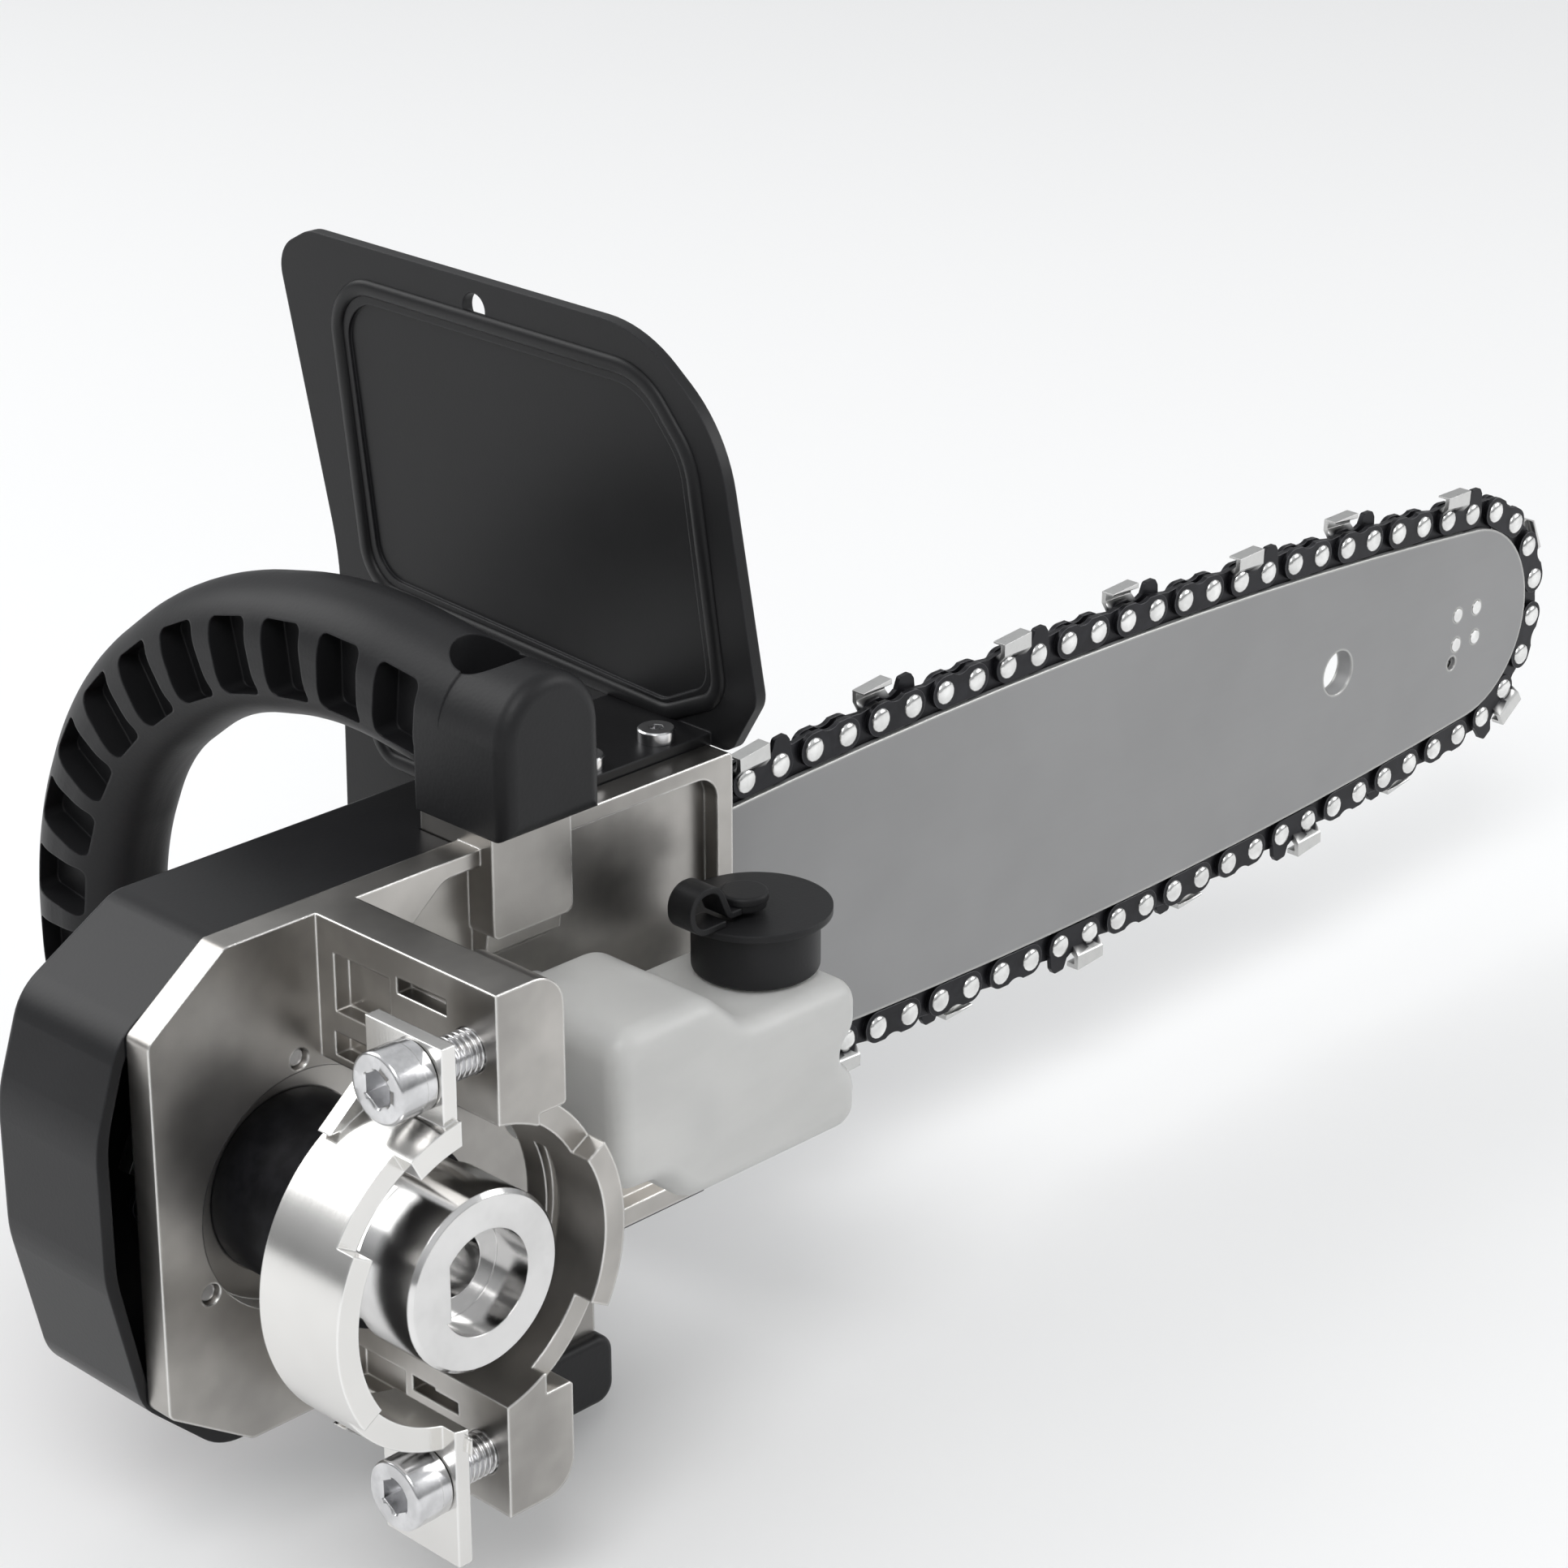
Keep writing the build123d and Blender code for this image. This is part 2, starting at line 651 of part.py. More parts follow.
def pockets(side):
    """Shallow pockets on the inner face of an arm: y and z ranges, z from the axis outwards."""
    if side > 0:
        return ((18, 32.5, 34, 45), (3.5, 16, 43, 46), (24, 33, 25.5, 30))
    return ((18, 32.5, 31, 39), (4, 16, 31, 34))


def casting_body():
    body = slab_y(plate_outline(), plate_y, plate_back_y)
    pocket = rounded(
        [(ring_face_x + arm_thickness + 4, -34), (nose_x - 4, -34), (nose_x - 4, rim_z - 3.2),
         (ring_face_x + arm_thickness + 20, rim_z - 3.2), (ring_face_x + arm_thickness + 4, rim_z - 16)], 5)
    body -= slab_y(pocket, plate_y - 1, plate_y + pocket_depth)
    body += arm(1) + arm(-1)
    body += ring_half(ring_face_x, 60, ((-30, 30),))
    body += slab_y(handle_post_outline(), bolt_y - 10, bolt_y + 9)
    gusset = make_face(Polyline((bolt_y - 10, 50), (plate_back_y, 50), (plate_back_y, 26), (plate_y, 30), close=True))
    body += slab_x(gusset, handle_x - 9, handle_x + 9)
    body += block((handle_x - 9, handle_x + 9), (low_bolt_y - 9, plate_back_y), (tongue_top_z, sole_z + 8))
    body += slab_y(box_outline(pad_rear_x, pad_front_x, -pad_half, pad_half, 6), plate_back_y - 1, bar_y - bar_half - slide_gap)
    body += block((guard_foot_rear_x + 4, nose_x - 2), (plate_back_y - 1, guard_screw_y + 4), (rim_z - 6, foot_z))
    return body


def handle_post_outline():
    """Post under the handle, seen along Y."""
    return box_outline(handle_x - post_half, handle_x + post_half, rim_z - 17, handle_foot_z, 1.5)


foot_z = cover_top_z + 0.4


def make_casting():
    body = casting_body()
    body -= rod_y(drive_hole_radius, plate_y - 1, plate_back_y - 1.2)
    body -= rod_y(housing_radius + 0.1, plate_y - 1, plate_back_y + 1)
    body -= rod_y(ring_bore, -20, ring_half_width + 2)
    for side in (1, -1):
        z = side * clamp_screw_z
        body -= rod(m8_radius + 0.08, (0, clamp_screw_y, z), (40, clamp_screw_y, z))
    for x in stud_x:
        body -= rod_y(m8_radius + press_gap, plate_back_y - 1, bar_y, x)
    body -= rod_z(m8_radius + press_gap, 36, 60, handle_x, bolt_y)
    body -= rod_z(3.0 + press_gap, -60, -40, handle_x, low_bolt_y)
    for x in guard_screw_x:
        body -= rod_z(2.0 + press_gap, 40, 60, x, guard_screw_y)
    for turn in (90, 210, 330):
        x, z = polar((0, 0), housing_flange_radius - 4, math.radians(turn))
        body -= rod_y(2.0 + press_gap, plate_y - 1, plate_back_y + 1, x, z)
    for x, z in tank_boss_places:
        body -= rod_y(2.1, plate_y, plate_back_y + 20, x, z)
    body -= rod_y(outlet_radius + 0.1, plate_y, plate_back_y + 20, *outlet_place)
    slot = ring_y(ring_bore + 1.6, ring_bore - 1, 2, 5) & slab_y(sector(-25, 25), 0, 6)
    save(body - slot, "body_casting")


def make_studs():
    """Two studs that hold the bar and the cover, with their socket nuts in the cover's recess."""
    end = recess_y + 6.0
    save([rod_y(m8_radius, plate_back_y - 0.9, end, x) for x in stud_x], "bar_studs")
    nuts = []
    for x in stud_x:
        nut = rod_y(m8_head_radius, recess_y + 0.02, recess_y + 9, x)
        nut = chamfer(nut.edges().sort_by(Axis.Y)[-1], 0.6)
        nut -= rod_y(m8_radius + press_gap, recess_y - 1, end + 0.2, x)
        nut -= Pos(x, recess_y + 9, 0) * Rot(-90, 0, 0) * hex_socket(6.0, 3.5)
        nuts.append(nut)
    save(nuts, "bar_nuts")


recess_y = cover_outer_y - recess_depth


def make_bar_plate():
    """Thin plate between the bar and the cover."""
    y = bar_y + bar_half + slide_gap
    plate = slab_y(box_outline(pad_rear_x + 1, pad_front_x + 8, -pad_half, pad_half, 4), y, y + plate_sheet)
    for x in stud_x:
        plate -= rod_y(m8_radius + 0.15, y - 1, y + 5, x)
    save(plate, "bar_plate")


# ---- cover

def cover_outline(inset):
    top, low = cover_top_z - inset, -48 + inset
    rear, front = -39 + inset, cover_front_x
    return rounded(
        [(front, -43 + inset), (66, -43 + inset), (50, low), (-17, low), (-33 + inset * 0.7, -33 + inset * 0.7),
         (rear, -6), (rear, 20), (-33 + inset * 0.7, 38 - inset * 0.7), (-12, top), (front, top)],
        [0.5, 8, 8, 12, 10, 25, 25, 12, 8, 0.5])


def make_cover():
    """Moulded shell, open towards the casting and at its front end where the bar comes out."""
    body = slab_y(cover_outline(0), cover_y, cover_outer_y)
    body = fillet(body.faces().sort_by(Axis.Y)[-1].edges(), 1.6)
    cavity = slab_y(cover_outline(cover_wall), cover_y - 1, cover_outer_y - cover_wall)
    cavity += block((cover_front_x - 8, cover_front_x + 1), (cover_y - 1, cover_outer_y - cover_wall), (-40.4, 44.9))
    body -= cavity
    inner = bar_y + bar_half + slide_gap + plate_sheet
    body += slab_y(box_outline(36.5, 84, -12, 12, 6), inner + 2.4, cover_outer_y - 0.6)
    body += slab_y(box_outline(44, 78, -9, 9, 6), inner, cover_outer_y - 3)
    body -= slab_y(box_outline(40, 81, -9.5, 9.5, 8), recess_y, cover_outer_y + 1)
    rim = slab_y(cover_outline(6.5), cover_outer_y - 0.8, cover_outer_y + 1)
    rim -= slab_y(cover_outline(9.0), cover_outer_y - 2, cover_outer_y + 2)
    body -= rim
    for x in stud_x:
        body -= rod_y(m8_radius + 0.2, inner - 1, cover_outer_y, x)
    body -= rod_y(cam_shaft_radius + running_gap, cam_y, cover_outer_y + 2, knob_x, knob_z)
    body -= rod_y(cam_room, cam_y - 6, cam_y + cam_thickness + 0.3, knob_x, knob_z)
    body -= block((pin_x - tension_travel - 4, pin_x + 4), (inner - 1, cam_y + cam_thickness + 0.3), (knob_z - 3.5, knob_z + 3.5))
    ledge = (guard_foot_rear_x + 3.5, cover_front_x + 1)
    body -= block(ledge, (cover_y - 1, guard_screw_y + 4.4), (40, 60))
    post = (handle_x - post_half - cover_gap, handle_x + post_half + cover_gap)
    body -= block(post, (cover_y - 1, bolt_y + 9 + cover_gap), (rim_z - 17 - cover_gap, 60))
    save(body, "sprocket_cover")


cam_y = 63.6
cam_thickness = 2.6
cam_big = pin_x - knob_x - pin_radius - cam_gap
cam_room = cam_big + 1.2


# ---- tensioner

def make_cam():
    """Spiral disc on a shaft: turning it lets the bar back in proportion."""
    points = []
    for n in range(19):
        share = n / 18
        radius = cam_big - tension_travel * share
        points.append(polar((0, 0), radius, -math.radians(cam_sweep * share)))
    lead = [polar((0, 0), cam_big, math.radians(a)) for a in (14, 7, 0)]
    edges = [Spline(*points), ThreePointArc(*lead), Line(points[-1], lead[0])]
    disc = slab_y(make_face(edges), cam_y, cam_y + cam_thickness)
    shaft = rod_y(cam_shaft_radius, cam_y, knob_y + 3) + rod_y(3.4, knob_y + 3, knob_y + 8)
    shaft -= rod_y(1.65, knob_y, knob_y + 9)
    save(Pos(knob_x, 0, knob_z) * (disc + shaft), "tension_cam")


def knob_outline():
    """Round lobes: the radius falls by knob_dip between them as a cosine."""
    points = []
    for n in range(8 * knob_lobes):
        angle = math.radians(360 * n / (8 * knob_lobes))
        radius = knob_radius - knob_dip * (0.5 - 0.5 * math.cos(knob_lobes * angle)) ** 2
        points.append(polar((0, 0), radius, angle))
    return make_face(Spline(*points, periodic=True))


def make_knob():
    top = knob_y + knob_height
    knob = slab_y(knob_outline(), knob_y, top)
    knob = fillet(knob.faces().sort_by(Axis.Y)[-1].edges(), 1.0)
    knob -= ring_y(knob_radius - 5.6, 6.6, knob_y + 5, top + 1)
    knob -= rod_y(5.0, knob_y + 8, top + 1)
    knob -= rod_y(3.4 + press_gap, knob_y - 1, top)
    knob -= rod_y(cam_shaft_radius + press_gap, knob_y - 1, knob_y + 3)
    place = Pos(knob_x, 0, knob_z)
    save(place * knob, "tension_knob")
    save(place * ring_y(4.9, 1.75, knob_y + 8.02, knob_y + 9), "knob_washer")
    screw = rod_y(3.0, knob_y + 9.02, knob_y + 11) + rod_y(1.6, knob_y + 2, knob_y + 9.02)
    screw -= block((-4, 4), (knob_y + 10.1, knob_y + 12), (-0.45, 0.45))
    save(place * screw, "knob_screw")
    pin = rod_y(pin_radius, bar_y - bar_half, cam_y + cam_thickness, pin_x, knob_z)
    save(pin, "tension_pin")


# ---- handle

def smooth_path(points):
    """Straight runs joined by arcs as large as their runs allow."""
    radii = []
    for before, here, after in zip(points, points[1:], points[2:]):
        first, second = Vector(*here) - Vector(*before), Vector(*after) - Vector(*here)
        run, turn = min(first.length, second.length), math.radians(first.get_angle(second))
        radii.append(0.45 * run / math.tan(turn / 2))
    return FilletPolyline(*points, radius=radii)


handle_route = [(45, 71), (80, 75), (118, 66.5), (150, 42), (164.5, 10), (164.5, -24), (148, -50), (112, -60)]


def handle_curve():
    return smooth_path([(handle_x, y, z) for y, z in handle_route])


def handle_grip():
    path = handle_curve()
    section = RectangleRounded(handle_width, handle_depth, handle_round)
    return sweep(Plane(path @ 0, x_dir=(1, 0, 0), z_dir=path % 0) * section, path=path)


def handle_windows():
    """Pockets on both sides of the grip, one every step along it."""
    path, cuts = handle_curve(), []
    count = int((path.length - 18) // window_step)
    for n in range(count):
        share = (12 + window_step * n) / path.length
        point, along = path @ share, path % share
        place = Plane(point, x_dir=(1, 0, 0), z_dir=along)
        pocket = Box(window_depth, window_height, window_length)
        pocket = fillet(pocket.edges().filter_by(Axis.X), 1.8)
        for side in (1, -1):
            x = side * (handle_width / 2 - window_depth / 2 + 1)
            cuts.append(place * Pos(x, 0, 0) * pocket)
    return cuts


def handle_block():
    """End block on the post: flat below, arched on top, with a well for its bolt."""
    half = handle_width / 2
    spring = handle_top_z - half
    face = make_face([
        Polyline((-half, spring), (-half, handle_foot_z), (half, handle_foot_z), (half, spring)),
        ThreePointArc((half, spring), (0, handle_top_z), (-half, spring))])
    body = slab_y(Pos(handle_x, 0) * face, handle_front_y, handle_front_y + 24)
    return fillet(body.faces().sort_by(Axis.Y)[0].edges(), 3.0)


def handle_tongue():
    """Lower end of the handle, under the casting."""
    path = handle_curve()
    middle = tongue_top_z - tongue_height / 2
    start = Plane(path @ 1, x_dir=(1, 0, 0), z_dir=path % 1) * RectangleRounded(handle_width, handle_depth, handle_round)
    end = Plane((handle_x, 78, middle), x_dir=(1, 0, 0), z_dir=(0, -1, 0)) * RectangleRounded(handle_width, tongue_height, 4.0)
    tail = extrude(end, amount=78 - handle_front_y)
    return loft([start, end]) + fillet(tail.faces().sort_by(Axis.Y)[0].edges(), 1.5)


def make_handle():
    body = handle_grip() + handle_block() + handle_tongue()
    for cut in handle_windows():
        body -= cut
    body -= rod_z(m8_head_radius + 0.4, handle_foot_z + 9, handle_top_z + 5, handle_x, bolt_y)
    body -= rod_z(m8_clear, handle_foot_z - 1, handle_foot_z + 10, handle_x, bolt_y)
    body -= rod_z(5.3, -90, tongue_top_z - 6, handle_x, low_bolt_y)
    body -= rod_z(3.3, -90, tongue_top_z + 1, handle_x, low_bolt_y)
    save(body, "handle")
    seat = handle_foot_z + 9
    save(Pos(handle_x, bolt_y, seat + 0.02) * Rot(180, 0, 0) * socket_screw(m8_radius, seat - 37, m8_head_radius, m8_head, 6.0),
         "handle_upper_bolt")
    seat = tongue_top_z - 6
    save(Pos(handle_x, low_bolt_y, seat - 0.02) * socket_screw(3.0, 6 + 7, 5.0, 6.0, 5.0), "handle_lower_bolt")


# ---- guard

def guard_outline():
    """Seen along the bar: tall plate, a notch for bar and chain, and a leg on the cover side."""
    return rounded(
        [(156, 127.5), (62, 127.5), (41, 112), (31, 62), (38, foot_z), (66, foot_z), (66, -20), (84, -46), (134, -46),
         (152, -16), (150.5, 60), (166, 122)],
        [8, 30, 30, 5, 4, 3, 14, 14, 22, 30, 60, 7])


def make_guard():
    body = slab_x(guard_outline(), guard_x, guard_x + guard_sheet)
    foot = Pos(0, 0) * box_outline(0, 1, 0, 1, 0.1)
    foot = block((guard_foot_rear_x, guard_x + 1), (cover_y, cover_outer_y - 1), (foot_z, foot_z + guard_sheet))
    body += foot
    panel = rounded([(146, 116), (62, 116), (51, 104), (44, 62), (56, 56), (138, 60)], [8, 14, 14, 5, 6, 8])
    body -= slab_x(panel, guard_x - 1, guard_x + 0.7)
    body -= rod((3.2), (guard_x - 5, 107, 121.5), (guard_x + 9, 107, 121.5))
    screws = []
    for x in guard_screw_x:
        top = foot_z + guard_sheet
        body -= rod_z(2.2, foot_z - 1, top + 1, x, guard_screw_y)
        screws.append(Pos(x, guard_screw_y, top + 0.02) * Rot(180, 0, 0) * socket_screw(2.0, guard_sheet + 6, 3.6, 2.6, 2.5))
    save(body, "hand_guard")
    save(screws, "guard_screws")


# ---- tank

def tank_outline(inset):
    """Seen along Y: a step up at the rear, a waist at the front end."""
    top, step, low = tank_top_z - inset, tank_step_z - inset, tank_bottom_z + inset
    rear, end = tank_rear_x + inset, tank_end_x - inset
    return rounded(
        [(rear, step), (66 - inset, step), (74 - inset * 0.5, top), (end, top), (end - 1, 9), (end - 6, 4),
         (end, -1), (end - 1, low), (rear, low), (rear, 2), (rear + 3, 10)],
        [2, 5, 4, 4, 3, 3, 4, 7, 5, 6, 6])


def make_tank():
    body = slab_y(tank_outline(0), tank_front_y, tank_back_y)
    body = fillet(body.faces().sort_by(Axis.Y)[0].edges(), 1.8)
    body += rod_z(neck_radius, tank_top_z - 3, tank_top_z + 6.5, cap_x, cap_y)
    for x, z in tank_boss_places:
        body += rod_y(4.5, tank_back_y - 3, plate_y + pocket_depth, x, z)
    body -= slab_y(tank_outline(tank_wall), tank_front_y + tank_wall, tank_back_y - tank_wall)
    body -= rod_z(neck_bore, tank_top_z - 6, tank_top_z + 8, cap_x, cap_y)
    for x, z in tank_boss_places:
        body += rod_y(4.5, tank_back_y - 6, tank_back_y, x, z)
        body -= rod_y(1.9, tank_back_y - 4, plate_back_y, x, z)
    body -= rod_y(outlet_radius + 0.05, tank_back_y - 5, tank_back_y + 5, *outlet_place)
    save(body, "oil_tank")
    screws = [Pos(x, plate_back_y + 0.02, z) * Rot(90, 0, 0) * socket_screw(1.85, 12, 3.6, 2.4, 2.5) for x, z in tank_boss_places]
    save(screws, "tank_screws")
    outlet = rod_y(outlet_radius, tank_back_y - 4, plate_back_y + 3, *outlet_place)
    outlet += ring_y(outlet_radius + 1.6, outlet_radius - 0.5, tank_back_y, tank_back_y + 2, *outlet_place)
    outlet -= rod_y(outlet_radius - 1.2, tank_back_y - 6, plate_back_y + 6, *outlet_place)
    save(outlet, "oil_outlet")


tank_boss_places = ((56.0, 17.0), (96.0, -5.0))
outlet_radius = 2.5
outlet_place = (80.0, -16.5 + 8.0)


def make_cap():
    """Push-on cap with a wide thin flange, and a button that holds the strap's eye on top."""
    base = tank_top_z + 0.4
    flange_z = tank_top_z + cap_height
    top = flange_z + cap_flange
    cup = rod_z(cap_radius, base, flange_z, cap_x, cap_y)
    cup = fillet(cup.edges().sort_by(Axis.Z)[0], 1.0)
    cup += rod_z(cap_flange_radius, flange_z, top, cap_x, cap_y)
    cup -= rod_z(neck_radius + 0.3, base - 1, tank_top_z + 7.2, cap_x, cap_y)
    cup += rod_z(neck_bore - 0.4, base + 3, flange_z - 1, cap_x, cap_y)
    cup -= rod_z(2.1, flange_z - 2, top + 1, *button_place)
    save(cup, "tank_cap")
    seal = rod_z(neck_radius, tank_top_z + 6.55, tank_top_z + 7.15, cap_x, cap_y)
    seal -= rod_z(neck_bore, tank_top_z + 5, tank_top_z + 9, cap_x, cap_y)
    save(seal, "cap_seal")
    x, y = button_place
    head = top + 0.1 + 2 * tether_thickness + 0.1
    button = rod_z(cap_button_radius, head, head + 1.6, x, y)
    button = fillet(button.edges().sort_by(Axis.Z)[-1], 0.6) + rod_z(2.0, flange_z - 1.5, head, x, y)
    save(button, "cap_button")
    make_tether(top)


button_place = (cap_x - 3.5, cap_y - 0.5)


def make_tether(top):
    """Strap that leaves the flange sideways, turns back over itself and ends in an eye under the button."""
    x, y = button_place
    lower = top + 0.1 + tether_thickness / 2
    upper = lower + 6.5 * tether_thickness
    eye_z = lower + tether_thickness
    left = cap_x - cap_flange_radius - 5.0
    line = FilletPolyline((cap_x - 11.0, lower), (left, lower), (left, upper), (left + 6.5, upper), (x - 6.4, eye_z),
                          (x - 3.5, eye_z), radius=[3.6, 3.6, 3.4, 1.2])
    strap = slab_y(trace(line, tether_thickness), y - tether_width / 2, y + tether_width / 2)
    half = tether_thickness / 2
    eye = rod_z(cap_button_radius - 0.4, eye_z - half, eye_z + half, x, y)
    hole = rod_z(2.2, top, top + 9, x, y)
    save(eye + strap - hole, "cap_tether")


make_chain()
make_bar()
make_nose()
make_shaft()
make_adapter()
make_housing()
make_bearing(front_bearing_y, "front_bearing")
make_bearing(rear_bearing_y, "rear_bearing")
make_circlips()
make_sprocket()
make_jaw()
make_clamp_screws()
make_casting()
make_studs()
make_bar_plate()
make_cover()
make_cam()
make_knob()
make_handle()
make_guard()
make_tank()
make_cap()
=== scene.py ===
"""Looks of a chainsaw attachment for an angle grinder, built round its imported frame.

Every piece is in metres in the frame's axes: +X along the guide bar to its tip, +Y from the grinder
to the sprocket cover, +Z up.  The drive axis runs along Y through the origin.
"""

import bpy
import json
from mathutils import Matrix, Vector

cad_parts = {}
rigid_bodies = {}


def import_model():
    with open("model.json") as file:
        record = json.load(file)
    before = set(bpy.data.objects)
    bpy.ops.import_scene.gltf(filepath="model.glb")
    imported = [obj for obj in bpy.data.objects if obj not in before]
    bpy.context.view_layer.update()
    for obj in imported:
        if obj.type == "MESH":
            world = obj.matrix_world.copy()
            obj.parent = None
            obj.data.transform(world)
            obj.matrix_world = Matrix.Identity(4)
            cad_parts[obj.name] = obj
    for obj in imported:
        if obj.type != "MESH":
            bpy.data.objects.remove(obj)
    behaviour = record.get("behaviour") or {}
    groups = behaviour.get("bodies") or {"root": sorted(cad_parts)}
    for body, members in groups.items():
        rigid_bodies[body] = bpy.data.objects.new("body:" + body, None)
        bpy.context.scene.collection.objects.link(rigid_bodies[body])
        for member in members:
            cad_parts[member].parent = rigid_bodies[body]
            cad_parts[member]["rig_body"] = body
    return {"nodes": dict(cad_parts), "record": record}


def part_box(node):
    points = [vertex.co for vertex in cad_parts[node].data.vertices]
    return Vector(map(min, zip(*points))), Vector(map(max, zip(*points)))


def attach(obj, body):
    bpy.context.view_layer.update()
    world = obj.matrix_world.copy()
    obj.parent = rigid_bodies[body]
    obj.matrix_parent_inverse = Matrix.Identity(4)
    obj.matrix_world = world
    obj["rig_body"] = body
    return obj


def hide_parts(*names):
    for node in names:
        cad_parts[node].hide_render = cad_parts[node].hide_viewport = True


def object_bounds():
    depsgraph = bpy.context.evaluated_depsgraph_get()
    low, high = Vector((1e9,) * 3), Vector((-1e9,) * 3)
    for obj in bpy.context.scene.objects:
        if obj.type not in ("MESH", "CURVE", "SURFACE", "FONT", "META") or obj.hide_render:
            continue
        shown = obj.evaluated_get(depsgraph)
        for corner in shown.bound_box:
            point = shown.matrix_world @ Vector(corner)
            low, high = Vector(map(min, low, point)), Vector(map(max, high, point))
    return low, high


bl_info = {
    "name": "Chainsaw attachment looks",
    "version": (1, 0, 0),
    "blender": (4, 5, 0),
    "location": "3D View > Sidebar > Saw",
    "description": "Builds the visible pieces, finishes and stage of a chainsaw attachment",
    "category": "Object",
}

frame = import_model()

import json
import math

import bmesh
import bpy
import numpy as np

CAD_BOUNDS = [list(corner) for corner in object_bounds()]
MM = 0.001
TURN = 2 * math.pi
X, Y, Z = np.eye(3)


def low_high(node):
    """Lowest and highest corner of a CAD node as arrays."""
    low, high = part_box(node)
    return np.array(low), np.array(high)


def middle(node):
    """Centre of a CAD node's box."""
    low, high = low_high(node)
    return (low + high) / 2


BAR_Y = middle("guide_bar")[1]


# ---------------------------------------------------------------- settings

def colour(name, description, default):
    """A colour that the panel shows."""
    return bpy.props.FloatVectorProperty(
        name=name, description=description, default=default, size=3, subtype="COLOR", min=0.0, max=1.0)


def length(name, description, default):
    """A length in metres that the panel shows."""
    return bpy.props.FloatProperty(
        name=name, description=description, default=default, min=0.0, unit="LENGTH", precision=5)


def view_angle(name, description, degrees):
    """An angle that the panel shows in degrees."""
    return bpy.props.FloatProperty(
        name=name, description=description, default=math.radians(degrees), subtype="ANGLE")


class SawColours(bpy.types.PropertyGroup):
    """Base colours of the finishes."""

    casting: colour("Casting", "Cast aluminium of the body", (0.43, 0.415, 0.395))
    clamp: colour("Clamp", "Polished aluminium of the clamp ring", (0.80, 0.79, 0.77))
    steel: colour("Turned steel", "Adapter, shaft and sprocket", (0.74, 0.735, 0.73))
    zinc: colour("Zinc", "Plated screws and studs", (0.70, 0.70, 0.71))
    black_plastic: colour("Black plastic", "Cover, handle, guard and cap", (0.010, 0.010, 0.011))
    tank: colour("Tank", "Milky translucent plastic", (0.80, 0.80, 0.785))
    knob: colour("Knob", "Orange plastic of the tension knob", (0.83, 0.075, 0.008))
    bar: colour("Bar", "Grey lacquer of the guide bar", (0.255, 0.255, 0.257))
    chain: colour("Chain", "Black oxide of links and straps", (0.010, 0.010, 0.012))
    plating: colour("Plating", "Chrome on the cutters' top plates", (0.66, 0.66, 0.65))
    brass: colour("Brass", "Knob screw", (0.75, 0.50, 0.17))
    rivets: colour("Rivets", "Polished heads of the chain's rivets", (0.80, 0.80, 0.79))
    bearings: colour("Bearings", "Ground steel of the bearing rings", (0.62, 0.62, 0.64))
    bare_steel: colour("Bare steel", "The bar's edges, where its lacquer is worn off", (0.62, 0.62, 0.60))
    rubber: colour("Rubber", "Seal under the tank's cap", (0.02, 0.02, 0.02))


class SawSizes(bpy.types.PropertyGroup):
    """Sizes of the details that the frame doesn't hold."""

    thread_pitch: length("Thread pitch", "Pitch of the clamp screws' thread", 1.25 * MM)
    thread_depth: length("Thread depth", "Crest to root of the thread", 0.75 * MM)
    socket_across: length("Socket", "Across the flats of the clamp screws' sockets", 6.0 * MM)
    rivet_radius: length("Rivet radius", "Radius of a rivet's domed head", 2.55 * MM)
    rivet_dome: length("Rivet dome", "Height of a rivet's domed head", 0.75 * MM)
    bead_width: length("Bead width", "Width of the guard's pressed beads", 3.4 * MM)
    bead_height: length("Bead height", "Height of the guard's pressed beads", 0.9 * MM)
    tank_round: length("Tank round", "Radius of the tank's front and back edges", 4.2 * MM)


class SawStage(bpy.types.PropertyGroup):
    """Camera, lights and floor."""

    lens: bpy.props.FloatProperty(name="Lens", description="Focal length in millimetres", default=96.1)
    azimuth: view_angle("Azimuth", "The camera's turn from the front", -45.4)
    elevation: view_angle("Elevation", "The camera's height above level", 23.1)
    camera: bpy.props.FloatVectorProperty(
        name="Camera", description="Where the camera stands", default=(-0.3995, -0.474, 0.3508),
        subtype="TRANSLATION", unit="LENGTH")
    floor: colour("Floor", "Colour of the floor", (0.90, 0.90, 0.90))
    sky: colour("Surroundings", "Colour of the surroundings", (0.80, 0.81, 0.82))


# ---------------------------------------------------------------- meshes from arrays

def grid_faces(rows, columns, wrap_rows=False, wrap_columns=False):
    """Quads of a grid of points, row by row, joined end to end where a direction wraps, as a list."""
    r = np.arange(rows if wrap_rows else rows - 1)
    c = np.arange(columns if wrap_columns else columns - 1)
    r, c = np.meshgrid(r, c, indexing="ij")
    up, right = (r + 1) % rows, (c + 1) % columns
    quads = [r * columns + c, r * columns + right, up * columns + right, up * columns + c]
    return np.stack(quads, -1).reshape(-1, 4).tolist()


def mesh_of(name, parts):
    """One mesh of several (points, faces) arrays, its doubles merged and its faces turned outwards."""
    points, faces, start = [], [], 0
    for part, part_faces in parts:
        part = np.asarray(part, float).reshape(-1, 3)
        points.append(part)
        faces.extend([corner + start for corner in face] for face in part_faces)
        start += len(part)
    mesh = bpy.data.meshes.new(name)
    mesh.from_pydata(np.vstack(points).tolist(), [], faces)
    work = bmesh.new()
    work.from_mesh(mesh)
    bmesh.ops.remove_doubles(work, verts=work.verts, dist=1e-6)
    bmesh.ops.dissolve_degenerate(work, edges=work.edges, dist=1e-7)
    bmesh.ops.recalc_face_normals(work, faces=work.faces)
    work.to_mesh(mesh)
    work.free()
    return mesh


